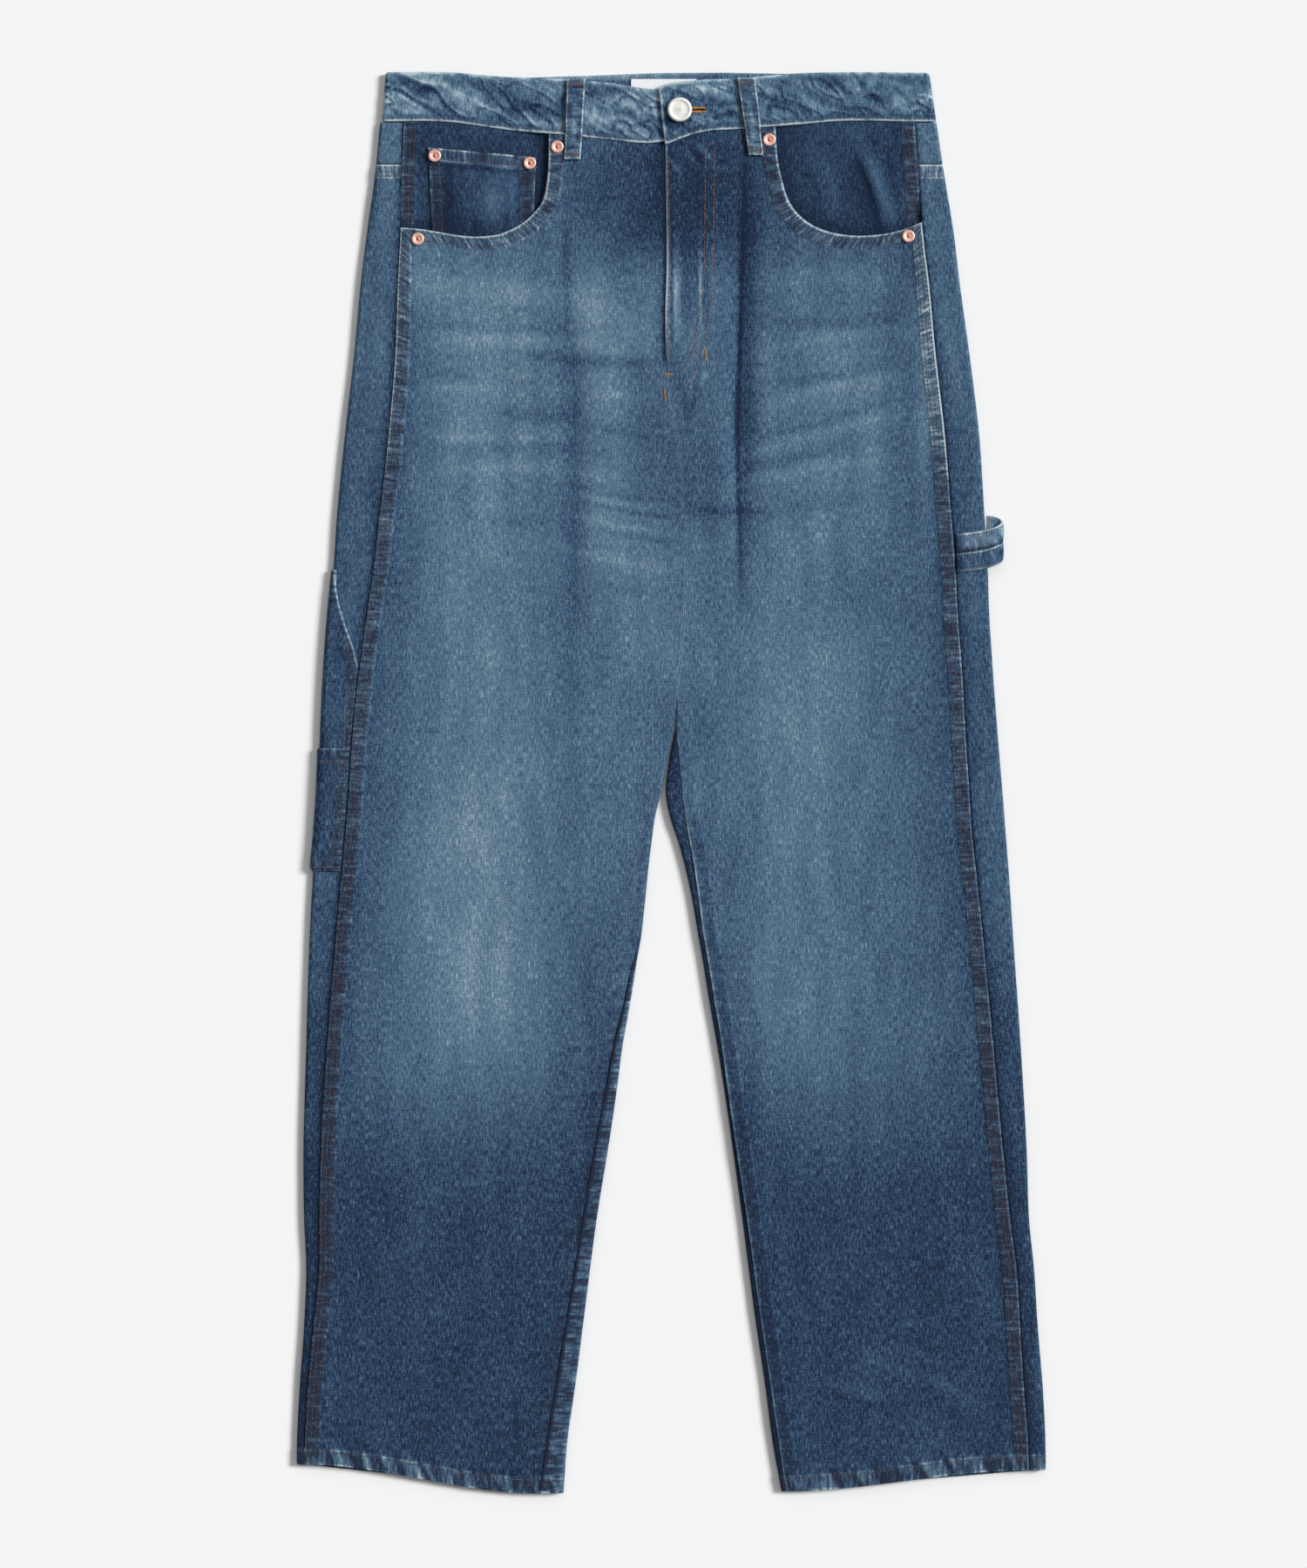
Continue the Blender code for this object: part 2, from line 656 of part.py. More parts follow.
def back_panel(side):
    """Back panel from the yoke seam to the hem, on the same rows as the front panel's seams."""
    hem_seam, hem_inner = HEM[side]
    front_up, front_inner = front_rows(side)[1], front_rows(side)[3]
    shared = len(POCKET_RIGHT) - 1 + len(FRONT_ROWS) - 1
    top_outer = YOKE_SEAM[0] - SEAM_GAP / 2 - np.array([0, SEAM_BAND, SEAM_BAND + SEAM_SLOPE])
    top_inner = YOKE_SEAM[1] - SEAM_GAP / 2 - np.array([0, SEAM_BAND, SEAM_BAND + SEAM_SLOPE])
    up_outer = np.concatenate([top_outer, column(BACK_ROWS, "seam_up"), front_up[shared:]])
    up_inner = np.concatenate([top_inner, column(BACK_ROWS, "inner_up"), front_inner[shared:]])
    from_top = up_outer[0] - up_outer
    raised = np.maximum(ridge(from_top), ridge(up_outer - hem_seam, HEM_BAND))
    return back_piece(f"back_{SIDE_NAMES[side]}", side, up_outer, up_inner, raised)


def yoke(side):
    """Back yoke, between the waistband and the slanted yoke seam."""
    share = np.linspace(0, 1, 4)
    low_outer, low_inner = (height + SEAM_GAP / 2 for height in YOKE_SEAM)
    up_outer = YOKE_TOP + (low_outer - YOKE_TOP) * share
    up_inner = YOKE_TOP + (low_inner - YOKE_TOP) * share
    return back_piece(f"yoke_{SIDE_NAMES[side]}", side, up_outer, up_inner, np.zeros(len(share)))


def waistband():
    """Waistband: one strip from under the button, round both folds, to the lapped end on top."""
    share = np.linspace(0, 1, 4)
    centre = BAND_CLOTH / 2 + BAND_RADIUS
    right_flat = BAND_EDGES[RIGHT][0] + (BAND_EDGES[RIGHT][1] - BAND_EDGES[RIGHT][0]) * share
    left_flat = BAND_EDGES[LEFT][0] + (BAND_EDGES[LEFT][1] - BAND_EDGES[LEFT][0]) * share
    right_flat = -(right_flat - BAND_RADIUS - BAND_CLOTH / 2)
    left_flat = left_flat - BAND_RADIUS - BAND_CLOTH / 2
    lap_end = LAP_END[0] + (LAP_END[1] - LAP_END[0]) * share
    stations = []
    for step in np.linspace(0, 1, 15):
        x = UNDERLAP_END + (right_flat - UNDERLAP_END) * step
        stations.append((x, np.zeros(4), np.ones(4), BAND_RIGHT, BAND_RIGHT, 0.0))
    for turn in np.radians(np.arange(30, 180, 30)):
        x = right_flat - BAND_RADIUS * np.sin(turn)
        stations.append((x, -np.sin(turn) * np.ones(4), np.cos(turn) * np.ones(4), BAND_RIGHT, BAND_BACK,
                         turn / np.pi))
    for step in np.linspace(0, 1, 13):
        x = right_flat + (left_flat - right_flat) * step
        stations.append((x, np.zeros(4), -np.ones(4), BAND_BACK, BAND_BACK, 0.0))
    for turn in np.radians(np.arange(150, 0, -30)):
        x = left_flat + BAND_RADIUS * np.sin(turn)
        stations.append((x, np.sin(turn) * np.ones(4), np.cos(turn) * np.ones(4), BAND_LEFT, BAND_BACK,
                         turn / np.pi))
    for step in np.linspace(0, 1, 20):
        x = left_flat + (lap_end - left_flat) * step
        stations.append((x, np.zeros(4), np.ones(4), BAND_LEFT, BAND_LEFT, 0.0))
    points, normals = [], []
    for number, (x, lean, rise, front, back, turned) in enumerate(stations):
        low = curve(front, "x", "low", x) * (1 - turned) + curve(back, "x", "low", x) * turned
        top = curve(front, "x", "top", x) * (1 - turned) + curve(back, "x", "top", x) * turned
        lapped = number >= len(stations) - 20
        step_up = BAND_STEP * smooth_step((LAP_SLOPE[1] - x) / (LAP_SLOPE[1] - LAP_SLOPE[0])) * lapped
        z = centre + BAND_RADIUS * rise + step_up
        points.append(np.stack([x, low + (top - low) * share, z], axis=-1))
        normals.append(np.stack([lean, np.zeros(4), rise], axis=-1))
    band = wall("waistband", DENIM, np.array(points), np.array(normals), BAND_CLOTH)
    cut_buttonhole(band)
    return band


def cut_buttonhole(band):
    """Keyhole through the lapped end: a round eye for the shank and a narrow slit beside it."""
    x, up = BUTTON_PLACE
    half_slit = np.arcsin(BUTTONHOLE_SLIT / BUTTONHOLE_RADIUS)
    turns = np.linspace(half_slit, 2 * np.pi - half_slit, 14)
    outline = [(x + BUTTONHOLE_RADIUS * np.cos(turn), up + BUTTONHOLE_RADIUS * np.sin(turn)) for turn in turns]
    outline += [(BUTTONHOLE_END, up - BUTTONHOLE_SLIT), (BUTTONHOLE_END, up + BUTTONHOLE_SLIT)]
    count = len(outline)
    low, high = BAND_HEIGHT + SEAM_GAP / 2, BAND_HEIGHT + BAND_STEP + 1.0
    points = [(px, py, low) for px, py in outline] + [(px, py, high) for px, py in outline]
    faces = [tuple(range(count)), tuple(range(2 * count - 1, count - 1, -1))]
    faces += [(i, (i + 1) % count, (i + 1) % count + count, i + count) for i in range(count)]
    cutter = solid("buttonhole_cutter", DENIM, points, faces)
    cutter.hide_render = True
    cutter.display_type = "WIRE"
    cut = band.modifiers.new("buttonhole", "BOOLEAN")
    cut.operation = "DIFFERENCE"
    cut.object = cutter


def mouth_distance(side, x, up):
    """Distance from the pocket mouth, counted above 0 on the side where the facing shows."""
    mouth = np.stack([column(POCKETS[side], "x"), column(POCKETS[side], "up")], axis=-1)
    place = np.stack([x, up], axis=-1)[..., None, :]
    start, run = mouth[:-1], np.diff(mouth, axis=0)
    share = np.clip(((place - start) * run).sum(-1) / (run * run).sum(-1), 0, 1)
    off = place - start - share[..., None] * run
    distance = np.hypot(off[..., 0], off[..., 1])
    nearest = distance.argmin(-1)[..., None]
    turn = run[:, 0] * off[..., 1] - run[:, 1] * off[..., 0]
    shown = np.sign(np.take_along_axis(turn, nearest, -1)[..., 0]) * side
    return np.take_along_axis(distance, nearest, -1)[..., 0] * shown


def facing_grid(side):
    """Grid of the pocket facing, whose inner block of rows and columns carries the coin pocket."""
    rows = len(FACING_ROWS)
    seam_up = np.concatenate([[YOKE_TOP], column(FACING_ROWS, "seam_up")])
    inner_up = np.concatenate([[457.0], column(FACING_ROWS, "inner_up")])
    down = np.linspace(0, 1, rows)
    seam = edge(side, "seam", seam_up) - SEAM_GAP / 2
    coin_outer = COIN_OUTER[0] + (COIN_OUTER[1] - COIN_OUTER[0]) * down
    coin_inner = COIN_INNER[0] + (COIN_INNER[1] - COIN_INNER[0]) * down
    if side == LEFT:
        coin_outer, coin_inner = coin_outer - 13.0, coin_inner - 12.0
    columns = [seam, seam - SEAM_BAND, seam - SEAM_BAND - SEAM_SLOPE]
    columns += [coin_outer + (coin_inner - coin_outer) * f for f in np.linspace(0, 1, COIN_COLUMNS)]
    last = np.full(rows, FACING_INNER[side])
    columns += [coin_inner + (last - coin_inner) * f for f in (0.34, 0.67, 1.0)]
    out = np.stack(columns, axis=-1)
    across = (out[:, :1] - out) / (out[:, :1] - out[:, -1:])
    up = seam_up[:, None] + (inner_up - seam_up)[:, None] * across
    x = side * out
    up[0] = band_low(side, x[0]) - BAND_GAP
    rise = smooth_step((mouth_distance(side, x, up) - FACING_RISE_START) / FACING_RISE_LENGTH)
    top = FACING_TOP_LOW + FACING_RISE * rise
    return x, up, top


def pocket_facing(side):
    """Facing behind a scooped pocket mouth, joined at the side seam and under the waistband."""
    x, up, top = facing_grid(side)
    point = np.stack([x, up, top - CLOTH / 2], axis=-1)
    normal = np.zeros_like(point)
    normal[..., 2] = 1
    raised = np.zeros_like(x)
    raised[:7, :2] = SEAM_RIDGE
    raised = raised * smooth_step((mouth_distance(side, x, up) - 4.0) / 8.0)
    return wall(f"pocket_facing_{SIDE_NAMES[side]}", DARK_DENIM, point, normal, raised=raised)


def coin_pocket():
    """Coin pocket: a patch made from the facing's own points, moved out, with a raised hem."""
    x, up, top = facing_grid(RIGHT)
    block = (slice(COIN_TOP_ROW, COIN_BOTTOM_ROW + 1), slice(3, 3 + COIN_COLUMNS))
    point = np.stack([x[block], up[block], top[block] + SEAM_GAP + CLOTH / 2], axis=-1)
    normal = np.zeros_like(point)
    normal[..., 2] = 1
    raised = np.zeros(point.shape[:-1])
    raised[:2] = COIN_HEM
    return wall("coin_pocket", DARK_DENIM, point, normal, raised=raised)


def belt_loop(side):
    """Belt loop: a narrow strip over the waistband, turned under and stitched down at both ends."""
    table = BELT_LOOPS[side]
    up, middle, half, under = (column(table, name) for name in ("up", "x", "half_width", "under"))
    across = np.array([-1.0, -0.4, 0.4, 1.0])
    x = middle[:, None] + half[:, None] * across
    z = np.repeat(under[:, None] + LOOP_CLOTH / 2, len(across), axis=1)
    point = np.stack([x, np.repeat(up[:, None], len(across), axis=1), z], axis=-1)
    normal = np.zeros_like(point)
    normal[..., 2] = 1
    raised = np.zeros(x.shape)
    raised[:2], raised[-2:] = LOOP_END_RIDGE, LOOP_END_RIDGE
    return wall(f"belt_loop_{SIDE_NAMES[side]}", DENIM, point, normal, LOOP_CLOTH, raised)


def outer_patch(name, table, turn, layer):
    """Patch pocket on the right leg, from its inner edge on top to partly round the outer fold."""
    up = column(table, "up")
    start = -column(table, "inner_x") - edge(RIGHT, "edge", up) + EDGE_REACH
    turns = np.radians([0, 36, 72, 108, turn] if turn > 115 else [0, 36, 72, turn])
    columns = [start, start * 0.5] + [np.full_like(start, FOLD_RADIUS * angle) for angle in turns]
    t = np.stack(columns, axis=-1)
    point, normal = section(RIGHT, np.repeat(up[:, None], t.shape[1], axis=1), t)
    point = point + normal * (CLOTH + SEAM_GAP) * layer
    return wall(name, DENIM, point, normal)


def hammer_loop():
    """Hammer loop: a doubled strap from the side seam, out round the leg's edge and back below."""
    out, height, up = (column(HAMMER_PATH, name) for name in ("out", "height", "up"))
    along = np.stack([np.gradient(out), np.gradient(height)], axis=-1)
    along = along / np.hypot(along[:, 0], along[:, 1])[:, None]
    across = np.linspace(-0.5, 0.5, 5) * STRAP_WIDTH
    shape = (len(out), len(across))
    point = np.stack([
        np.broadcast_to(out[:, None], shape), up[:, None] + across, np.broadcast_to(height[:, None], shape),
    ], axis=-1)
    normal = np.stack([
        np.broadcast_to(-along[:, 1:], shape), np.zeros(shape), np.broadcast_to(along[:, :1], shape),
    ], axis=-1)
    raised = np.broadcast_to(np.array([0, 1, 0, 1, 0]) * STRAP_RIDGE, shape)
    low_room = np.clip((point[..., 2] - STRAP_CLOTH / 2) * 2, 0, 1)
    return wall("hammer_loop", DENIM, point, normal, STRAP_CLOTH, raised * low_room)


def label():
    """Woven tab, bare, inside the back of the waistband."""
    x, up = np.meshgrid((LABEL_LOW[0], LABEL_HIGH[0]), np.linspace(LABEL_LOW[1], LABEL_HIGH[1], 3))
    z = np.full(x.shape, BAND_CLOTH + SEAM_GAP + LABEL_CLOTH / 2)
    point = np.stack([x, up, z], axis=-1)
    normal = np.zeros_like(point)
    normal[..., 2] = 1
    return wall("label", TAB_CLOTH, point, normal, LABEL_CLOTH)


def turned(name, finish, place, profile, sides):
    """Round solid: a profile of (radius, height) from its lower middle to its upper middle."""
    x, up = place
    (_, first), *rings, (_, last) = profile
    turns = np.arange(sides) * 2 * np.pi / sides
    points = [(x, up, first)]
    for radius, height in rings:
        points += [(x + radius * np.cos(turn), up + radius * np.sin(turn), height) for turn in turns]
    points.append((x, up, last))
    top = len(points) - 1
    faces = []
    for i in range(sides):
        j = (i + 1) % sides
        faces.append((0, 1 + j, 1 + i))
        for ring in range(len(rings) - 1):
            a, b = 1 + ring * sides, 1 + (ring + 1) * sides
            faces.append((a + i, a + j, b + j, b + i))
        last_ring = 1 + (len(rings) - 1) * sides
        faces.append((last_ring + i, last_ring + j, top))
    item = solid(name, finish, points, faces)
    item.data.shade_smooth()
    item.data.set_sharp_from_angle(angle=np.radians(40))
    return item


def button():
    """Shank button: its shank stands on the under end of the waistband, through the buttonhole."""
    foot = BAND_HEIGHT + SEAM_GAP
    seat = BAND_HEIGHT + BAND_STEP + SEAM_GAP
    r = BUTTON_RADIUS
    profile = (
        (0, foot), (2.0, foot), (2.0, seat), (r - 1.2, seat), (r, seat + 0.8), (r, seat + 1.6),
        (r - 0.9, seat + 2.4), (r - 1.9, seat + 2.5), (r - 2.5, seat + 1.9), (3.2, seat + 2.0),
        (1.6, seat + 2.7), (0, seat + 2.9),
    )
    return turned("button", STEEL, BUTTON_PLACE, profile, 24)


def rivet(number, x, up, under):
    """Rivet cap: a low disc with a raised rim and a burr in the middle."""
    r = RIVET_RADIUS
    base = under + SEAM_GAP
    profile = (
        (0, base), (r, base), (r, base + 0.4), (r - 0.7, base + 0.9), (2.2, base + 0.7),
        (1.5, base + 0.4), (0.8, base + 0.9), (0, base + 1.0),
    )
    return turned(f"rivet_{number}", COPPER, (x, up), profile, 16)


def rivets():
    """Two rivets on the coin pocket's corners, then one at each end of both pocket mouths."""
    x, up, top = facing_grid(RIGHT)
    coin_top = top[COIN_TOP_ROW] + SEAM_GAP + CLOTH + COIN_HEM
    for number, (place_x, place_up) in enumerate(RIVETS[1:], start=1):
        if number <= COIN_RIVETS:
            near = np.argsort(np.abs(x[COIN_TOP_ROW] - place_x))[:2]
            under = coin_top[near].max()
        else:
            under = LEG_HEIGHT + SEAM_RIDGE
        rivet(number, place_x, place_up, under)


def main():
    for item in list(bpy.data.objects):
        bpy.data.objects.remove(item, do_unlink=True)
    for side in (RIGHT, LEFT):
        front_panel(side)
        back_panel(side)
        yoke(side)
        pocket_facing(side)
        belt_loop(side)
    waistband()
    coin_pocket()
    outer_patch("tool_pocket", TOOL_POCKET, TOOL_POCKET_TURN, 1)
    outer_patch("tool_pocket_small", TOOL_POCKET_SMALL, SMALL_POCKET_TURN, 2)
    hammer_loop()
    label()
    button()
    rivets()


main()
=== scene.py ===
"""Denim work jeans laid flat on their back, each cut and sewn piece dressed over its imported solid."""

import bmesh
import bpy
import numpy as np
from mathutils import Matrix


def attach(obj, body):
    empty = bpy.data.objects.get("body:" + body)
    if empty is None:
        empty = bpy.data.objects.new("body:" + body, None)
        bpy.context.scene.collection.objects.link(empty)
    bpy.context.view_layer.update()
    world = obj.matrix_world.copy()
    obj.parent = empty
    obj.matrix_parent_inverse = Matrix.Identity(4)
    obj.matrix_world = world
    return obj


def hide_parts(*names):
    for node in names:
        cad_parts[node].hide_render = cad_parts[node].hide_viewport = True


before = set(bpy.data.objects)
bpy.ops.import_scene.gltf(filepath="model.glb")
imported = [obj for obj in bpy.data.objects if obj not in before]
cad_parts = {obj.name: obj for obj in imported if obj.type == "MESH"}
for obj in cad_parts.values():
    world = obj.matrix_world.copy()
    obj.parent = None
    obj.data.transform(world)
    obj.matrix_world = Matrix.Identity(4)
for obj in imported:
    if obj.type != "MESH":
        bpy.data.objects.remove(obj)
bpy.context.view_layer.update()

# The form that every leg piece is cut for: a leg laid flat is a flattened tube of heavy denim. The
# tables hold its edges, its seams and its large folds in millimetres, as heights and X positions.
MM = 0.001
RIGHT, LEFT = -1, 1
SIDE_NAMES = {RIGHT: "right", LEFT: "left"}
CLOTH = 1.2
SEAM_GAP = 0.3
LEG_HEIGHT = 6.0
FOLD_RADIUS = (LEG_HEIGHT - CLOTH) / 2
EDGE_REACH = FOLD_RADIUS + CLOTH / 2
QUARTER_FOLD = FOLD_RADIUS * np.pi / 2
PARTING_TOP = 58.0
PARTING_LENGTH = 32.0
SIDES = (
    ("up", "right_edge", "right_seam", "left_seam", "left_edge"),
    (-505.0, -266.0, -261.5, 254.5, 266.0),
    (-466.0, -266.0, -260.5, 253.5, 266.0),
    (-435.0, -264.5, -259.0, 251.0, 264.5),
    (-385.0, -261.0, -254.5, 248.0, 260.5),
    (-346.0, -259.5, -250.5, 245.5, 258.0),
    (-311.0, -261.0, -250.5, 241.0, 254.5),
    (-267.5, -261.5, -249.5, 236.5, 253.0),
    (-187.0, -259.5, -245.0, 229.0, 248.5),
    (-108.0, -257.0, -238.5, 221.5, 243.0),
    (-70.0, -255.0, -235.0, 217.5, 240.5),
    (-38.0, -252.0, -232.0, 214.0, 238.0),
    (0.0, -249.5, -229.0, 211.5, 235.0),
    (30.0, -248.5, -227.0, 209.5, 232.5),
    (83.0, -246.0, -221.5, 206.5, 228.5),
    (123.0, -243.0, -216.0, 203.5, 226.0),
    (154.0, -240.0, -211.5, 202.0, 225.0),
    (185.0, -238.0, -208.0, 199.5, 223.0),
    (247.0, -232.0, -201.0, 194.5, 219.0),
    (309.0, -225.0, -196.0, 187.5, 211.5),
    (352.5, -221.0, -194.5, 183.5, 205.5),
    (393.5, -216.0, -192.5, 178.5, 200.5),
    (433.0, -210.5, -191.5, 175.5, 194.0),
    (470.0, -207.0, -190.0, 173.0, 188.5),
)
INNER = (
    ("up", "right_edge", "right_line", "left_line", "left_edge"),
    (-505.0, -76.5, -94.0, 81.5, 78.5),
    (-466.0, -73.5, -88.0, 75.5, 71.5),
    (-435.0, -69.0, -83.0, 71.0, 67.5),
    (-373.0, -61.0, -73.0, 62.0, 58.5),
    (-311.0, -53.0, -63.0, 53.5, 50.5),
    (-249.0, -43.0, -52.5, 44.5, 42.0),
    (-218.0, -38.5, -46.5, 40.0, 37.5),
    (-187.0, -34.5, -41.0, 35.5, 32.5),
    (-156.0, -29.0, -33.5, 30.5, 27.0),
    (-125.0, -24.0, -26.5, 25.5, 22.0),
    (-108.0, -21.0, -21.5, 22.5, 19.0),
    (-81.5, -18.0, -18.0, 19.0, 14.5),
    (-57.0, -15.5, -15.5, 15.5, 9.0),
    (-41.0, -13.5, -13.5, 12.5, 4.5),
    (-26.0, -11.5, -11.5, 10.0, -0.5),
    (-9.0, -7.5, -7.5, 7.5, -4.0),
    (16.5, -2.5, -2.5, 5.0, -1.5),
    (41.5, 2.5, 2.5, 3.0, 3.0),
    (58.0, 4.0, 4.0, 4.0, 4.0),
    (86.0, 6.5, 6.5, 6.5, 6.5),
    (123.0, 9.5, 9.5, 9.5, 9.5),
    (160.0, 10.5, 10.5, 10.5, 10.5),
    (210.0, 8.0, 8.0, 8.0, 8.0),
    (253.5, 3.0, 3.0, 3.0, 3.0),
    (290.0, -3.0, -3.0, -3.0, -3.0),
    (330.0, -4.5, -4.5, -4.5, -4.5),
    (371.0, -3.5, -3.5, -3.5, -3.5),
    (417.0, -4.0, -4.0, -4.0, -4.0),
    (470.0, -4.5, -4.5, -4.5, -4.5),
)
FOLDS = (
    ("x0", "up0", "x1", "up1", "width", "height"),
    (47.0, 452.0, 50.0, 130.0, 8.0, -1.7),
    (-71.0, 400.0, -70.0, 40.0, 9.0, -1.1),
    (-120.0, 352.0, -118.0, 120.0, 12.0, -0.7),
    (118.0, 350.0, 124.0, 90.0, 12.0, -0.8),
    (-30.0, 330.0, -24.0, 40.0, 9.0, -0.6),
    (20.0, 180.0, 60.0, -60.0, 13.0, -0.5),
    (-95.0, 10.0, -150.0, -150.0, 16.0, -0.6),
    (110.0, 20.0, 150.0, -160.0, 16.0, -0.6),
    (-215.0, -330.0, -120.0, -300.0, 14.0, -0.8),
    (-200.0, -420.0, -110.0, -380.0, 13.0, -0.7),
    (110.0, -330.0, 215.0, -360.0, 14.0, -0.8),
    (120.0, -400.0, 220.0, -430.0, 12.0, -0.6),
    (-150.0, 330.0, -60.0, 316.0, 9.0, -0.5),
    (-160.0, 282.0, -50.0, 262.0, 9.0, -0.5),
    (60.0, 312.0, 150.0, 330.0, 9.0, -0.5),
    (60.0, 262.0, 160.0, 284.0, 9.0, -0.5),
)
# Sharper creases and soft ridges that lie over the large folds.
CREASES = (
    ("x0", "up0", "x1", "up1", "width", "height"),
    (46.5, 448.0, 48.0, 196.0, 1.6, -0.55),
    (48.0, 215.0, 51.0, 110.0, 2.4, -0.35),
    (-71.5, 380.0, -70.0, 60.0, 3.0, -0.25),
    (-12.0, 300.0, -5.0, 150.0, 4.0, -0.3),
    (24.0, 300.0, 16.0, 100.0, 5.0, -0.3),
    (-150.0, 345.0, -30.0, 322.0, 5.0, 0.3),
    (-165.0, 300.0, -40.0, 286.0, 5.0, 0.3),
    (60.0, 330.0, 150.0, 346.0, 5.0, 0.3),
    (62.0, 286.0, 165.0, 306.0, 5.0, 0.3),
    (-110.0, 60.0, -60.0, -100.0, 7.0, -0.3),
    (60.0, 40.0, 100.0, -120.0, 7.0, -0.3),
    (-225.0, -300.0, -150.0, -270.0, 5.0, 0.35),
    (-180.0, -350.0, -110.0, -330.0, 5.0, 0.3),
    (130.0, -300.0, 220.0, -330.0, 5.0, 0.35),
    (100.0, -372.0, 200.0, -400.0, 5.0, 0.3),
    (150.0, -440.0, 225.0, -462.0, 4.0, 0.25),
)


def column(table, name):
    """One named column of a table, as an array."""
    heading, *rows = table
    place = heading.index(name)
    return np.array([row[place] for row in rows], float)


def smooth_step(share):
    """0 below 0, 1 above 1 and an even S between."""
    share = np.clip(share, 0.0, 1.0)
    return share * share * (3.0 - 2.0 * share)


def within(distance, width, slope):
    """1 up to a width, then falling on an even S to 0 over a slope."""
    return 1 - smooth_step((distance - width) / slope)


def bump_at(distance, width):
    """Bell of height 1 at distance 0, falling off over width."""
    return np.exp(-((distance / width) ** 2))


def hermite(keys, values, place):
    """Smooth curve through values at rising keys: cubic Hermite, with slopes from the neighbours."""
    slopes = np.gradient(values, keys)
    place = np.clip(place, keys[0], keys[-1])
    i = np.clip(np.searchsorted(keys, place) - 1, 0, len(keys) - 2)
    span = keys[i + 1] - keys[i]
    f = (place - keys[i]) / span
    ends = values[i] * (1 + 2 * f) * (1 - f) ** 2 + values[i + 1] * f * f * (3 - 2 * f)
    return ends + span * (slopes[i] * f * (1 - f) ** 2 - slopes[i + 1] * f * f * (1 - f))


def curve(table, key, name, place):
    """Smooth curve through a table's column, read at place along its key column."""
    return hermite(column(table, key), column(table, name), place)


def edge(side, name, up):
    """Distance out from the middle of a leg's outer edge or side seam at a height."""
    return side * curve(SIDES, "up", f"{SIDE_NAMES[side]}_{name}", up)


def inner(side, name, up):
    """Distance out from the middle of a leg's inner edge or inner seam line at a height."""
    return side * curve(INNER, "up", f"{SIDE_NAMES[side]}_{name}", up)


def fold_share(up):
    """How far the inner edge folds round: 0 above the parting of the legs, 1 below it."""
    return smooth_step((PARTING_TOP - up) / PARTING_LENGTH)


def tangents(side, up):
    """Where the flat top of the tube ends: the starts of its outer and its inner fold."""
    outer_start = edge(side, "edge", up) - EDGE_REACH
    turn = fold_share(up) * np.pi / 2
    inner_start = inner(side, "edge", up) + SEAM_GAP / 2 + EDGE_REACH * np.sin(turn)
    return outer_start, inner_start


def lines_relief(table, x, up):
    """Height of straight folds: each falls off as a bell across and fades at its ends."""
    total = np.zeros(np.broadcast(x, up).shape)
    for x0, up0, x1, up1, width, height in table[1:]:
        length = np.hypot(x1 - x0, up1 - up0)
        along = ((x - x0) * (x1 - x0) + (up - up0) * (up1 - up0)) / length
        off = ((x - x0) * (up1 - up0) - (up - up0) * (x1 - x0)) / length
        ends = smooth_step(along / (0.35 * length)) * smooth_step((length - along) / (0.35 * length))
        total = total + height * ends * bump_at(off, width)
    return total


def relief(x, up):
    """Height of the large soft folds, which only sink."""
    return np.clip(lines_relief(FOLDS, x, up), -2.0, 0.0)


def noise(x, y, seed):
    """Smooth noise from -1 to 1: hashed values at whole-number corners, blended with even S steps."""
    x, y = np.broadcast_arrays(np.asarray(x, float), np.asarray(y, float))
    column_at, row_at = np.floor(x), np.floor(y)
    fx, fy = smooth_step(x - column_at), smooth_step(y - row_at)

    def corner(i, j):
        hashed = np.sin((column_at + i) * 127.1 + (row_at + j) * 311.7 + seed * 74.7) * 43758.5453
        return 2.0 * (hashed - np.floor(hashed)) - 1.0

    low = corner(0, 0) * (1 - fx) + corner(1, 0) * fx
    high = corner(0, 1) * (1 - fx) + corner(1, 1) * fx
    return low * (1 - fy) + high * fy


def slack(x, up):
    """Small unevenness of cloth that lies loose: listed creases and two sizes of soft noise."""
    broad = 0.3 * noise(x / 46.0, up / 64.0, 1) + 0.16 * noise(x / 19.0 + up / 60.0, up / 30.0, 2)
    return lines_relief(CREASES, x, up) + broad - 0.25


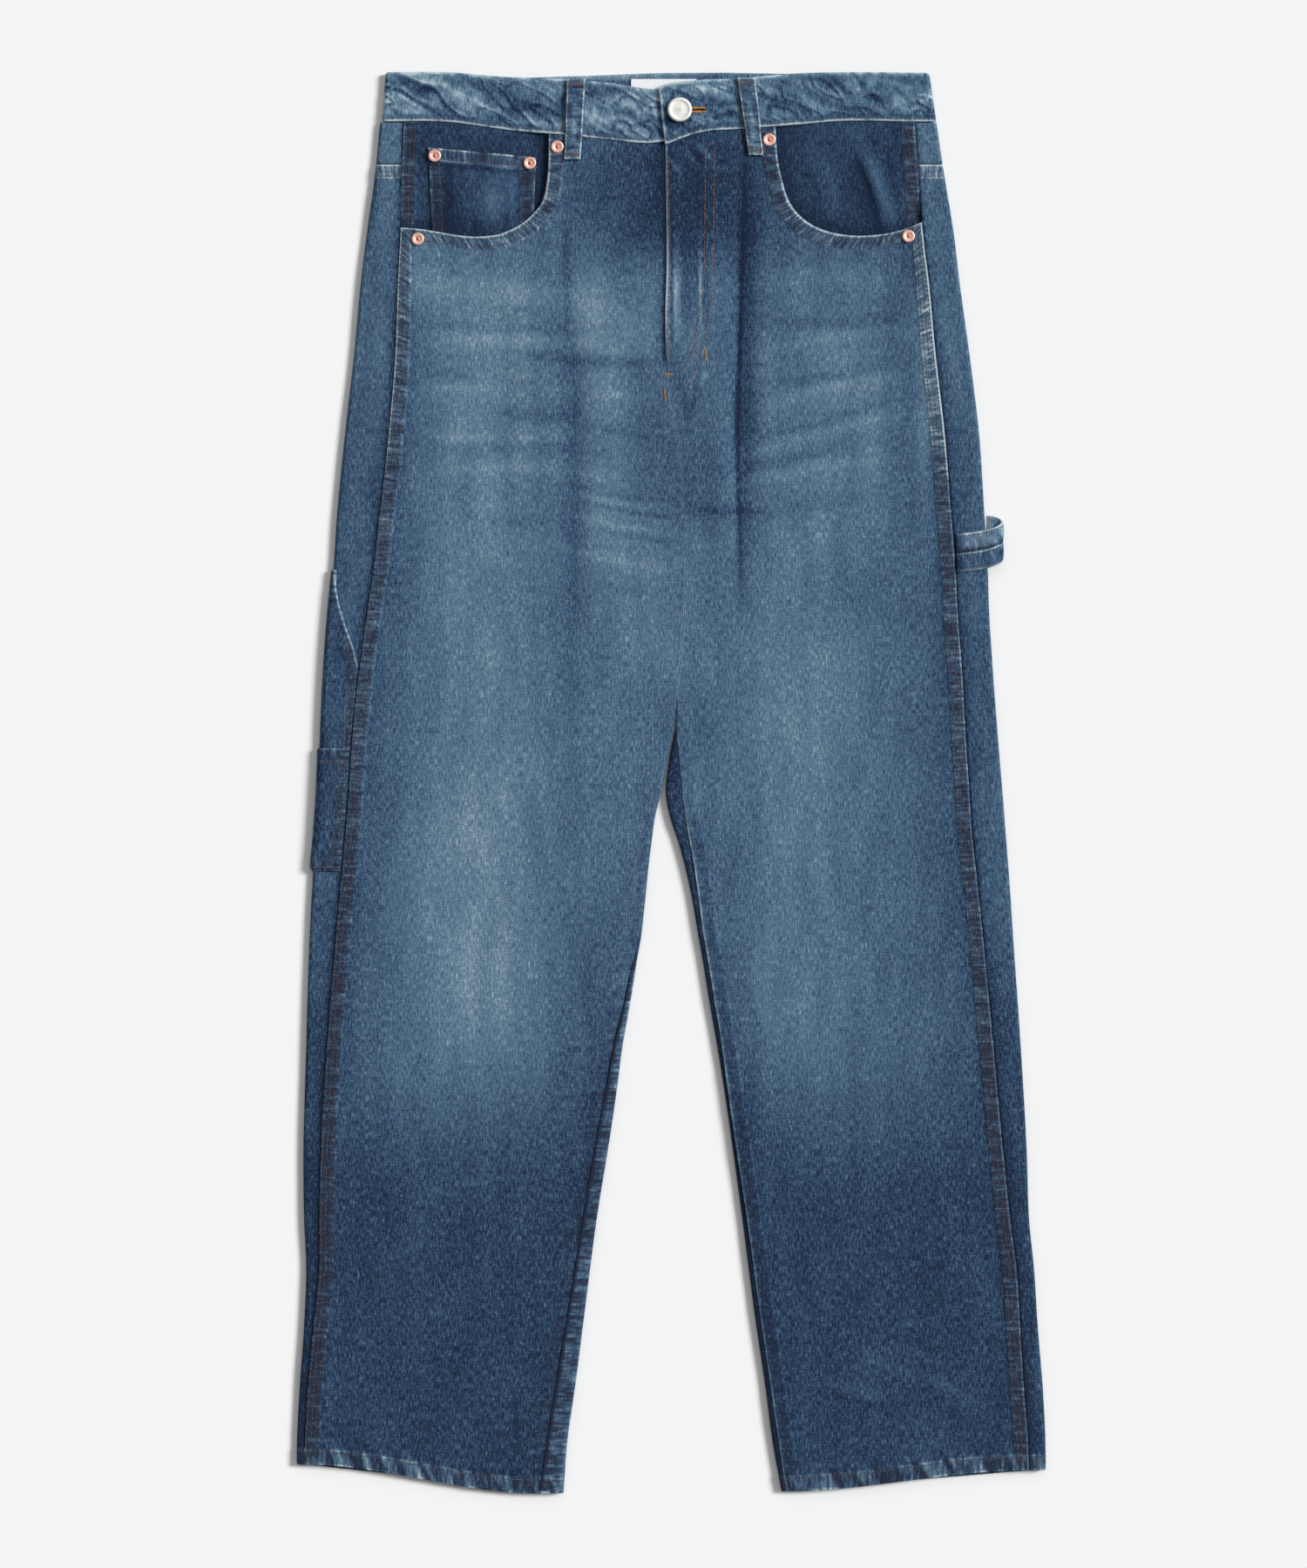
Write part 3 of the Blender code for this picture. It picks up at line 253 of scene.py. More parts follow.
def section(side, up, t):
    """Point and outward direction on the middle of the cloth, t along it round the tube.

    t is 0 where the flat top meets the outer fold. It grows round that fold, along the underside,
    round the inner fold and on to the top again, and it falls going inwards across the top.
    """
    outer_start, inner_start = tangents(side, up)
    width = outer_start - inner_start
    r = FOLD_RADIUS
    beyond = t - np.pi * r - width
    outer_turn = np.clip(t, 0, np.pi * r) / r
    turn_from_top = np.clip(-width - t, 0, np.pi * r) / r
    turn_from_below = np.clip(beyond, 0, np.pi * r) / r
    cases = [t < -width, t <= 0, t < np.pi * r, beyond <= 0, beyond < np.pi * r]
    out = np.select(cases, [
        inner_start - r * np.sin(turn_from_top),
        outer_start + t,
        outer_start + r * np.sin(outer_turn),
        outer_start - (t - np.pi * r),
        inner_start - r * np.sin(turn_from_below),
    ], inner_start + beyond - np.pi * r)
    rise = np.select(cases, [
        np.cos(turn_from_top), np.ones_like(t), np.cos(outer_turn), -np.ones_like(t),
        -np.cos(turn_from_below),
    ], 1.0)
    lean = np.select(cases, [
        -np.sin(turn_from_top), np.zeros_like(t), np.sin(outer_turn), np.zeros_like(t),
        -np.sin(turn_from_below),
    ], 0.0)
    x = side * out
    z = CLOTH / 2 + r + r * rise + relief(x, up) * np.clip(rise, 0, 1)
    point = np.stack([x, np.broadcast_to(up, x.shape), z], axis=-1)
    normal = np.stack([side * lean, np.zeros_like(x), rise], axis=-1)
    return point, normal


def strip_length(side, up):
    """Cloth of the back panel past the middle of the inner fold, up to the inner seam line."""
    width = np.clip(inner(side, "line", up) - inner(side, "edge", up), 0, None)
    return QUARTER_FOLD * np.clip(width / EDGE_REACH, 0, 1) + np.clip(width - EDGE_REACH, 0, None)


def front_end(side, up):
    """t where the front panel meets the inner seam."""
    outer_start, inner_start = tangents(side, up)
    reach = QUARTER_FOLD - strip_length(side, up) - SEAM_GAP / 2
    return inner_start - outer_start - fold_share(up) * reach


def back_end(side, up):
    """t where the back panel, coming from below, meets the inner seam."""
    outer_start, inner_start = tangents(side, up)
    reach = QUARTER_FOLD + strip_length(side, up) - SEAM_GAP / 2
    return np.pi * FOLD_RADIUS + outer_start - inner_start + fold_share(up) * reach


def seam_place(side, up):
    """t of the side seam, which lies on top, in from the outer fold."""
    return edge(side, "seam", up) - edge(side, "edge", up) + EDGE_REACH


# Front panels: each is one piece of mid-blue denim from the waistband to the hem, cut away in a scoop
# for the pocket. It is felled to the back down the side, and the left one laps over as the fly.
SEAM_RIDGE = 0.8
SEAM_BAND = 9.5
SEAM_SLOPE = 1.5
HEM_BAND = 10.5
BAND_GAP = 0.5
HEM = {RIGHT: (-484.5, -505.0), LEFT: (-488.5, -503.5)}
POCKET_RIGHT = (
    ("x", "up", "lean", "rise_up"),
    (-87.0, 460.2, 0, 453.0),
    (-87.3, 439.5, 5, 432.0),
    (-88.2, 428.3, 12, 412.0),
    (-91.3, 413.4, 25, 388.0),
    (-97.8, 404.7, 38, 366.0),
    (-108.6, 396.0, 50, 345.0),
    (-119.2, 390.8, 58, 328.0),
    (-136.5, 388.2, 62, 308.0),
    (-151.4, 389.1, 63, 292.0),
    (-165.0, 391.4, 60, 277.0),
    (-178.7, 393.6, 55, 262.0),
    (-192.3, 394.6, 48, 247.0),
)
POCKET_LEFT = (
    ("x", "up", "lean", "rise_up"),
    (74.0, 466.0, 0, 453.0),
    (76.0, 440.0, 5, 432.0),
    (79.5, 425.5, 14, 412.0),
    (83.5, 412.5, 26, 388.0),
    (91.0, 403.0, 38, 366.0),
    (99.5, 396.5, 50, 345.0),
    (112.0, 391.5, 58, 328.0),
    (126.5, 389.0, 62, 308.0),
    (142.0, 389.0, 64, 292.0),
    (156.5, 391.0, 64, 277.0),
    (167.5, 394.0, 60, 262.0),
    (178.0, 398.5, 50, 247.0),
)
POCKETS = {RIGHT: POCKET_RIGHT, LEFT: POCKET_LEFT}
FRONT_ROWS = (
    ("seam_up", "lean", "inner_up"),
    (380.0, 40, 233.0),
    (362.0, 30, 216.0),
    (338.0, 20, 196.0),
    (310.0, 12, 173.0),
    (275.0, 7, 145.0),
    (238.0, 3, 116.0),
    (200.0, 0, 88.0),
    (160.0, 0, 60.0),
    (122.0, 0, 38.0),
    (85.0, 0, 16.0),
    (52.0, 0, -8.0),
)
TOP_EASE_ROWS = 14.0
MOUTH_ROWS = 101
SEAM_ROWS = 361
MIDDLE_COLUMNS = 121
EDGE_STEPS = np.array([0.0, 0.2, 0.55, 1.1, 1.8, 2.6, 3.4, 4.2, 5.0, 5.8, 6.6, 7.4, 8.2, 9.0, 9.6, 10.2, 10.8,
                       11.6, 12.6])
# Where the finisher wore the indigo away, or left it deep: places and reaches in millimetres. The
# two deep entries at x -73 and 57 lie along the large folds there and are painted shade, not wear.
FADES = (
    ("x", "up", "reach_x", "reach_up", "amount"),
    (-135.0, 90.0, 56.0, 310.0, 0.28),
    (-140.0, -108.0, 50.0, 125.0, 0.2),
    (-130.0, 320.0, 62.0, 56.0, 0.12),
    (-44.0, 255.0, 17.0, 110.0, 0.26),
    (-8.0, 128.0, 22.0, 60.0, 0.2),
    (-40.0, 60.0, 30.0, 120.0, 0.12),
    # Painted shade along the large folds at x -73 and 57:
    (-73.0, 190.0, 9.0, 200.0, -0.1),
    (57.0, 300.0, 11.0, 130.0, -0.2),
    (20.0, 215.0, 15.0, 36.0, -0.14),
    (92.0, 20.0, 54.0, 260.0, 0.3),
    (126.0, 310.0, 50.0, 60.0, 0.1),
    (-16.0, 338.0, 24.0, 40.0, 0.24),
    (18.0, 424.0, 56.0, 50.0, -0.52),
    (-48.0, 428.0, 34.0, 30.0, -0.12),
    (112.0, 160.0, 50.0, 56.0, -0.1),
    (134.0, 240.0, 26.0, 90.0, 0.14),
    (44.0, -130.0, 22.0, 110.0, -0.12),
    (54.0, -230.0, 22.0, 60.0, -0.14),
    (105.0, -110.0, 34.0, 90.0, -0.06),
    (-180.0, 362.0, 18.0, 40.0, 0.16),
    (-60.0, 336.0, 12.0, 26.0, 0.2),
    (-32.0, 366.0, 14.0, 34.0, -0.16),
    (14.0, 338.0, 14.0, 30.0, 0.24),
    (-136.0, -32.0, 34.0, 60.0, -0.1),
    (-52.0, -190.0, 24.0, 90.0, -0.16),
    (-115.0, -370.0, 34.0, 60.0, -0.05),
    (181.0, 290.0, 9.0, 110.0, 0.34),
    (-181.0, 372.0, 12.0, 26.0, 0.12),
    (64.0, 300.0, 9.0, 130.0, 0.1),
)
WHISKERS = (
    ("x0", "up0", "x1", "up1", "bow", "width", "amount"),
    (-190.0, 352.0, -30.0, 334.0, 6.0, 8.0, 0.14),
    (-185.0, 332.0, -50.0, 322.0, -6.0, 4.0, -0.14),
    (-190.0, 312.0, -35.0, 308.0, 6.0, 6.0, 0.16),
    (-110.0, 306.0, 2.0, 300.0, -4.0, 4.0, -0.22),
    (-175.0, 294.0, -70.0, 288.0, -6.0, 4.0, -0.16),
    (-188.0, 276.0, -60.0, 282.0, 6.0, 6.0, 0.16),
    (-130.0, 266.0, -60.0, 264.0, -4.0, 5.0, -0.24),
    (-60.0, 274.0, -10.0, 270.0, 4.0, 5.0, 0.14),
    (-185.0, 252.0, -70.0, 246.0, -6.0, 5.0, 0.14),
    (-70.0, 252.0, -12.0, 244.0, 3.0, 4.0, -0.16),
    (-165.0, 236.0, -40.0, 232.0, 6.0, 4.0, -0.16),
    (-175.0, 220.0, -30.0, 216.0, 6.0, 5.0, 0.16),
    (-78.0, 214.0, 6.0, 200.0, -3.0, 2.0, -0.12),
    (-80.0, 209.0, 4.0, 195.0, -3.0, 2.2, 0.15),
    (-70.0, 202.0, 6.0, 189.0, -3.0, 1.8, -0.2),
    (-58.0, 197.0, 4.0, 186.0, -2.0, 1.4, 0.12),
    (-74.0, 192.0, 6.0, 179.0, -3.0, 2.4, 0.17),
    (-60.0, 184.0, 6.0, 171.0, -3.0, 2.4, -0.12),
    (-88.0, 172.0, 6.0, 153.0, -4.0, 3.6, 0.14),
    (-60.0, 144.0, 8.0, 138.0, -4.0, 4.0, -0.1),
    (-150.0, 190.0, -80.0, 188.0, -4.0, 4.0, -0.12),
    (56.0, 356.0, 175.0, 352.0, 6.0, 8.0, 0.12),
    (62.0, 330.0, 165.0, 332.0, -5.0, 4.0, -0.14),
    (58.0, 304.0, 175.0, 320.0, 6.0, 5.0, 0.14),
    (62.0, 288.0, 160.0, 300.0, -6.0, 5.0, -0.18),
    (58.0, 262.0, 178.0, 290.0, 6.0, 5.0, 0.16),
    (58.0, 246.0, 155.0, 272.0, -4.0, 4.0, -0.18),
    (52.0, 230.0, 175.0, 262.0, 6.0, 5.0, 0.16),
    (20.0, 222.0, 130.0, 244.0, -5.0, 4.0, -0.16),
    (30.0, 206.0, 165.0, 230.0, 5.0, 5.0, 0.13),
    (10.0, 196.0, 70.0, 194.0, -3.0, 4.0, -0.26),
    (60.0, 188.0, 150.0, 204.0, 4.0, 5.0, -0.1),
)
# Painted light and shade of the folds, creases and small wrinkles, added to the wear and not to the shape:
# dark lines where they sink and paler strokes where they rise to the light.
PAINTED_FOLD_SHADES = (
    ("x0", "up0", "x1", "up1", "width", "height"),
    (53.0, 470.0, 49.0, 300.0, 1.5, -0.55),
    (55.0, 470.0, 52.0, 300.0, 6.0, -0.14),
    (50.0, 350.0, 46.0, 225.0, 1.6, -0.66),
    (53.0, 350.0, 50.0, 225.0, 6.5, -0.2),
    (46.0, 300.0, 50.0, 110.0, 1.6, -0.55),
    (50.0, 300.0, 54.0, 110.0, 7.0, -0.12),
    (-71.5, 392.0, -70.0, 60.0, 5.0, -0.1),
    (-76.0, 420.0, -73.0, 300.0, 2.0, -0.24),
    (13.0, 190.0, 13.0, 12.0, 4.0, 0.04),
    (-118.0, 300.0, -118.0, 120.0, 9.0, -0.05),
    (118.0, 340.0, 124.0, 90.0, 9.0, -0.06),
    (-90.0, 10.0, -150.0, -190.0, 10.0, -0.05),
    (100.0, 20.0, 150.0, -180.0, 10.0, -0.05),
    (5.0, 298.0, 13.0, 248.0, 2.4, -0.26),
    (20.0, 292.0, 13.0, 254.0, 2.0, -0.2),
    (27.0, 298.0, 15.0, 268.0, 1.6, 0.3),
    (22.0, 286.0, 12.0, 262.0, 1.6, -0.26),
    (8.0, 453.0, 20.0, 436.0, 1.6, 0.4),
    (16.0, 458.0, 30.0, 440.0, 1.8, 0.45),
    (11.0, 456.0, 24.0, 437.0, 1.6, -0.3),
    (-2.0, 446.0, 10.0, 428.0, 1.8, 0.3),
    (26.0, 452.0, 36.0, 430.0, 2.0, 0.25),
    (-22.0, 452.0, -10.0, 430.0, 2.2, -0.2),
    (-190.0, -300.0, -110.0, -276.0, 5.0, 0.08),
    (-215.0, -340.0, -150.0, -318.0, 5.0, 0.08),
    (125.0, -404.0, 215.0, -434.0, 5.0, 0.12),
    (98.0, -422.0, 165.0, -440.0, 4.0, 0.16),
    (104.0, -431.0, 170.0, -452.0, 3.0, -0.12),
    (150.0, -394.0, 215.0, -424.0, 4.0, 0.12),
    (184.0, -420.0, 226.0, -450.0, 3.5, 0.14),
    (178.0, -432.0, 216.0, -460.0, 3.0, -0.12),
    (-114.0, -420.0, -107.0, -486.0, 1.8, -0.16),
    (110.0, -380.0, 200.0, -404.0, 4.0, -0.06),
)
LOW_WASH = 0.08
HIGH_WASH = 0.44
WASH_START, WASH_RISE = -305.0, 130.0


def wear_and_fold_shade(side, x, up):
    """How far the indigo is worn off, 0 deep blue to 1 pale, with painted shade mixed in: a level that
    rises above the shins, plus round fades, plus whiskers, which are bowed lines that fade at both ends,
    plus the painted shade and highlights of the folds."""
    level = LOW_WASH + (HIGH_WASH - LOW_WASH) * smooth_step((up - WASH_START) / WASH_RISE)
    # The fold table adds painted shade and highlights, not wear.
    total = level + 0.05 * noise(x / 30.0, up / 42.0, 11) + lines_relief(PAINTED_FOLD_SHADES, x, up)
    for at_x, at_up, reach_x, reach_up, amount in FADES[1:]:
        total = total + amount * np.exp(-((x - at_x) / reach_x) ** 2 - ((up - at_up) / reach_up) ** 4)
    for x0, up0, x1, up1, bow, width, amount in WHISKERS[1:]:
        length = np.hypot(x1 - x0, up1 - up0)
        along = ((x - x0) * (x1 - x0) + (up - up0) * (up1 - up0)) / length ** 2
        off = ((up - up0) * (x1 - x0) - (x - x0) * (up1 - up0)) / length
        share = np.clip(along, 0, 1)
        off = off - bow * 4 * share * (1 - share)
        total = total + amount * np.sqrt(np.sin(np.pi * share)) * bump_at(off, width)
    rim = np.clip(edge(side, "seam", up) - side * x, 0, None)
    return total - 0.2 * bump_at(rim, 30.0) * smooth_step((up + 260.0) / 80.0)


def ridge(distance, width=SEAM_BAND):
    """Height of a felled seam or turned hem: full over its width, then a short slope down."""
    return SEAM_RIDGE * within(distance, width, SEAM_SLOPE)


def roping(along, across, seed):
    """Twisted puckers along a seam, from -1 to 1: noise drawn out on the slant across the band."""
    slanted = along + 0.45 * across
    broad, fine = noise(slanted / 5.2, across / 30.0, seed), noise(slanted / 2.7, across / 9.0, seed + 1)
    return 0.7 * broad + 0.4 * fine


def seam_dress(distance, along, seed, edges=(0.0, SEAM_BAND), stitch_lines=(), pucker=0.22, rim=0.6,
               uneven=1.0):
    """Lift and wear that sewing brings to a band of cloth.

    Puckers swell inside the band and fade beyond it, each stitch line sinks a fine groove, and both
    edges of the band are worn pale, by rim at the first, as unevenly as the puckers.
    """
    first, last = edges
    rope = roping(along, distance, seed)
    inside = smooth_step((distance - first + 1.5) / 1.5) * within(distance - last, 0.5, 4.0)
    lift = pucker * rope * inside
    for place in stitch_lines:
        lift = lift - 0.16 * bump_at(distance - place, 0.65)
    rope = rope * uneven
    wear = (0.22 * rope - 0.1) * inside + (rim + 0.4 * rope) * bump_at(distance - first - 0.4, 1.0)
    wear = wear + (0.16 + 0.26 * rope) * bump_at(distance - last - 0.6, 1.2)
    return lift, wear


def edge_round(distance):
    """Share of the cloth's half thickness left near a folded edge."""
    return 1 - 0.75 * (1 - np.clip(distance / 0.9, 0, 1)) ** 2


class Value:
    """A shader socket in Python expressions: each operator adds one Math node."""

    def __init__(self, finish, socket):
        self.finish, self.socket = finish, socket

    def maths(self, operation, *others):
        inputs = {number: value for number, value in enumerate(others)}
        return self.finish.node("ShaderNodeMath", {"operation": operation}, inputs)

    def __add__(self, other):
        return self.maths("ADD", self, other)

    def __sub__(self, other):
        return self.maths("SUBTRACT", self, other)

    def __rsub__(self, other):
        return self.maths("SUBTRACT", other, self)

    def __mul__(self, other):
        return self.maths("MULTIPLY", self, other)

    __radd__ = __add__

    def sine(self):
        return self.maths("SINE", self)


class Finish:
    """A material in the making. node() adds any node from its type, settings and inputs."""

    def __init__(self, name):
        self.material = bpy.data.materials.new(name)
        self.material.use_nodes = True
        self.tree = self.material.node_tree
        self.shader = self.tree.nodes["Principled BSDF"]

    def node(self, kind, settings=None, inputs=None, output=0):
        made = self.tree.nodes.new(kind)
        for name, value in (settings or {}).items():
            if name == "stops":
                while len(made.color_ramp.elements) < len(value):
                    made.color_ramp.elements.new(0.5)
                for element, (place, colour) in zip(made.color_ramp.elements, value):
                    element.position = place
                    element.color = (*colour, 1.0)
            else:
                setattr(made, name, value)
        self.join(made, inputs or {})
        return Value(self, made.outputs[output])

    def join(self, made, inputs):
        for name, value in inputs.items():
            if isinstance(value, Value):
                self.tree.links.new(value.socket, made.inputs[name])
            else:
                made.inputs[name].default_value = value

    def mix(self, factor, first, second):
        inputs = {"Factor": factor, "A": first, "B": second}
        return self.node("ShaderNodeMix", {"data_type": "RGBA"}, inputs, output=2)

    def speckle(self, place, scale, detail):
        return self.node("ShaderNodeTexNoise", inputs={"Vector": place, "Scale": scale, "Detail": detail})

    def bump(self, height, strength, distance):
        inputs = {"Height": height, "Strength": strength, "Distance": distance}
        return self.node("ShaderNodeBump", inputs=inputs)

    def set(self, **inputs):
        self.join(self.shader, {name.replace("_", " "): value for name, value in inputs.items()})
        return self.material


def colour(red, green, blue):
    """Linear colour from an 8-bit screen colour of the cloth in full light."""
    screen = np.array([red, green, blue]) / 255.0
    linear = np.where(screen < 0.04045, screen / 12.92, ((screen + 0.055) / 1.055) ** 2.4)
    return tuple(float(value) for value in linear)


INDIGO = (
    (0.0, colour(25, 38, 60)),
    (0.16, colour(38, 56, 82)),
    (0.34, colour(52, 77, 105)),
    (0.52, colour(73, 101, 126)),
    (0.7, colour(96, 124, 145)),
    (0.85, colour(132, 157, 172)),
    (1.0, colour(178, 196, 206)),
)
WASH_SPAN = 1.5
WASH_FLOOR = 0.23


def denim(name, slub=1.22):
    """Three-to-one indigo twill on the cloth's own measure, in metres along its grain.

    Wear, with the painted shade and highlights of folds and seams laid into it, moves the colour along the
    indigo ramp. Slubs are noise drawn out along the warp, the twill is a slanted sine a bit under a
    millimetre apart, and both also make the bump. On bands of sewing, ribs run across the band: noise on
    a second measure that follows the seam.
    """
    cloth = Finish(name)
    measure = cloth.node("ShaderNodeUVMap", {"uv_map": "grain"})
    seam_measure = cloth.node("ShaderNodeUVMap", {"uv_map": "seam_run"})
    # This attribute carries real wear and also painted shade and highlights of folds, seams and pocket
    # mouths.
    wear = cloth.node("ShaderNodeAttribute", {"attribute_name": "wear"}, output="Fac")
    band = cloth.node("ShaderNodeAttribute", {"attribute_name": "band"}, output="Fac")

    def streaks(where, across, along, detail):
        stretched = cloth.node("ShaderNodeMapping", inputs={"Vector": where, "Scale": (across, along, 1.0)})
        inputs = {"Vector": stretched, "Scale": 1.0, "Detail": detail, "Roughness": 0.6}
        return cloth.node("ShaderNodeTexNoise", inputs=inputs) - 0.5

    warp = streaks(measure, 1300.0, 230.0, 2.0)
    slubs = streaks(measure, 640.0, 150.0, 2.0)
    weft = streaks(measure, 330.0, 900.0, 1.0)
    cloud = streaks(measure, 80.0, 18.0, 3.0)
    ribs = streaks(seam_measure, 420.0, 70.0, 1.0)
    swells = streaks(seam_measure, 130.0, 60.0, 2.0)
    parts = cloth.node("ShaderNodeSeparateXYZ", inputs={"Vector": measure}, output="X")
    up_part = Value(cloth, parts.socket.node.outputs["Y"])
    twill = (parts * 6600.0 - up_part * 4300.0 + warp * 5.0).sine()
    heather = (warp * 1.9 + slubs * 0.9 + weft * 0.8) * (slub - wear * 0.72) + cloud * 0.48 + twill * 0.04
    faded = wear + WASH_FLOOR + heather * (1.0 - band * 0.2) + band * (ribs * 2.2 + swells * 0.5)
    ramp = cloth.node("ShaderNodeValToRGB", {"stops": INDIGO}, {"Fac": faded * (1 / WASH_SPAN)})
    tinted = cloth.mix(band * 0.12, ramp, (*colour(84, 82, 88), 1.0))
    height = twill * 0.2 + warp * 0.9 + weft * 0.5 + slubs * 0.7 + band * (ribs * 2.4 + swells * 1.6)
    bump = cloth.bump(height, 0.6, 0.0005)
    return cloth.set(Base_Color=tinted, Roughness=0.9 - wear * 0.06, Normal=bump, Specular_IOR_Level=0.12)


def hang(name, mesh, finish, crease=None):
    """The object of a finished mesh, smooth but for edges sharper than crease in degrees."""
    mesh.shade_smooth()
    if crease:
        mesh.set_sharp_from_angle(angle=np.radians(crease))
    mesh.materials.append(finish)
    piece = bpy.data.objects.new(name, mesh)
    bpy.context.scene.collection.objects.link(piece)
    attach(piece, "root")
    return piece


def dress(name, outer, base, normal, thickness, grain, marks, finish, opening=None):
    """Closed shell of cloth: the outer face on the whole grid, the inner face on every fourth row and
    column at its thickness below, and a rim of polygons between the two borders.

    opening is (first row, last row, first column, last column) of a hole, each a fourth line.
    """
    coarse = 4
    inside = (base - normal * thickness / 2)[::coarse, ::coarse]
    rows, columns = outer.shape[:2]
    index = np.arange(rows * columns).reshape(rows, columns)
    under_rows, under_columns = inside.shape[:2]
    under = np.arange(under_rows * under_columns).reshape(under_rows, under_columns) + rows * columns

    first_row, last_row, first_column, last_column = opening or (0, 0, 0, 0)

    def quads(grid, step):
        cells = np.stack([grid[:-1, :-1], grid[:-1, 1:], grid[1:, 1:], grid[1:, :-1]], axis=-1)
        kept = np.ones(cells.shape[:2], bool)
        kept[first_row // step:last_row // step, first_column // step:last_column // step] = False
        return cells[kept]

    def border(grid):
        return np.concatenate([grid[0, :-1], grid[:-1, -1], grid[-1, :0:-1], grid[:0:-1, 0]])

    def wall(fine, rough):
        steps = np.arange(len(rough))[:, None] * coarse + np.arange(coarse, -1, -1)
        return np.concatenate([rough[:, None], np.roll(rough, -1)[:, None], fine[steps % len(fine)]], axis=1)

    rim = wall(border(index), border(under))
    if opening:
        hole = index[first_row:last_row + 1, first_column:last_column + 1]
        low_row, high_row, low_column, high_column = (line // coarse for line in opening)
        hole_under = under[low_row:high_row + 1, low_column:high_column + 1]
        rim = np.concatenate([rim, wall(border(hole), border(hole_under))[:, ::-1]])
    middle = (rows // 2, columns // 2)
    a, b, d = outer[middle], outer[middle[0], middle[1] + 1], outer[middle[0] + 1, middle[1]]
    turned = np.dot(np.cross(b - a, d - a), normal[middle]) < 0
    top, below = quads(index, 1), quads(under, coarse)
    faces = [top[:, ::-1] if turned else top]
    faces.append(below if turned else below[:, ::-1])
    faces.append(rim[:, ::-1] if turned else rim)
    mesh = bpy.data.meshes.new(name)
    points = np.concatenate([outer.reshape(-1, 3), inside.reshape(-1, 3)]) * MM
    mesh.from_pydata(points, [], [face for group in faces for face in group.tolist()])
    corners = np.empty(len(mesh.loops), int)
    mesh.loops.foreach_get("vertex_index", corners)

    def on_points(values):
        return np.concatenate([values.reshape(rows * columns, -1), values[::coarse, ::coarse].reshape(
            under_rows * under_columns, -1)])

    for layer, measure in (("grain", grain), ("seam_run", marks.get("seam_run", grain))):
        mesh.uv_layers.new(name=layer).data.foreach_set("uv", (on_points(measure) * MM)[corners].ravel())
    for mark in ("wear", "band"):
        values = np.broadcast_to(np.asarray(marks.get(mark, 0.0), float), (rows, columns))
        mesh.attributes.new(mark, "FLOAT", "POINT").data.foreach_set("value", on_points(values).ravel())
    if opening:
        work = bmesh.new()
        work.from_mesh(mesh)
        loose = [vertex for vertex in work.verts if not vertex.link_faces]
        bmesh.ops.delete(work, geom=loose, context="VERTS")
        work.to_mesh(mesh)
        work.free()
    return hang(name, mesh, finish, crease=55)


def sample(grid, rows, columns):
    """Values of a grid at fractional rows and columns, straight between its points."""
    rows = np.clip(rows, 0, grid.shape[0] - 1.001)
    columns = np.clip(columns, 0, grid.shape[1] - 1.001)
    i, j = rows.astype(int), columns.astype(int)
    f, g = (rows - i)[:, None], (columns - j)[:, None]
    low = grid[i, j] * (1 - g) + grid[i, j + 1] * g
    return low * (1 - f) + (grid[i + 1, j] * (1 - g) + grid[i + 1, j + 1] * g) * f


def grid_line(outer, normal, rows, columns):
    """Line over a grid through fractional rows and columns."""
    rows, columns = np.broadcast_arrays(np.asarray(rows, float), np.asarray(columns, float))
    return sample(outer, rows, columns), sample(normal, rows, columns)


def level_line(values, distance):
    """Fractional columns where each row of values passes its distance, values rising along the row."""
    distances = np.broadcast_to(distance, len(values))
    return np.array([np.interp(reach, row, np.arange(len(row))) for reach, row in zip(distances, values)])


def edge_line(distance):
    """Fractional line of a finely stepped edge that lies at a distance in from it."""
    return np.interp(distance, EDGE_STEPS, np.arange(len(EDGE_STEPS)))


STITCH_LENGTH = 2.6
STITCH_PITCH = 3.3
THREAD_RADIUS = 0.3
THREAD_SIDES = 5


def spun_thread(name, dark, light):
    """Spun sewing thread, worn unevenly paler from stitch to stitch."""
    thread = Finish(name)
    place = thread.node("ShaderNodeTexCoord", output="Object")
    patches, fibre = thread.speckle(place, 260.0, 2.0), thread.speckle(place, 5200.0, 1.0)
    ramp = thread.node("ShaderNodeValToRGB", {"stops": ((0.35, dark), (0.68, light))}, {"Fac": patches})
    bump = thread.bump(fibre, 0.4, 0.0001)
    return thread.set(Base_Color=ramp, Roughness=0.7, Normal=bump, Specular_IOR_Level=0.3)


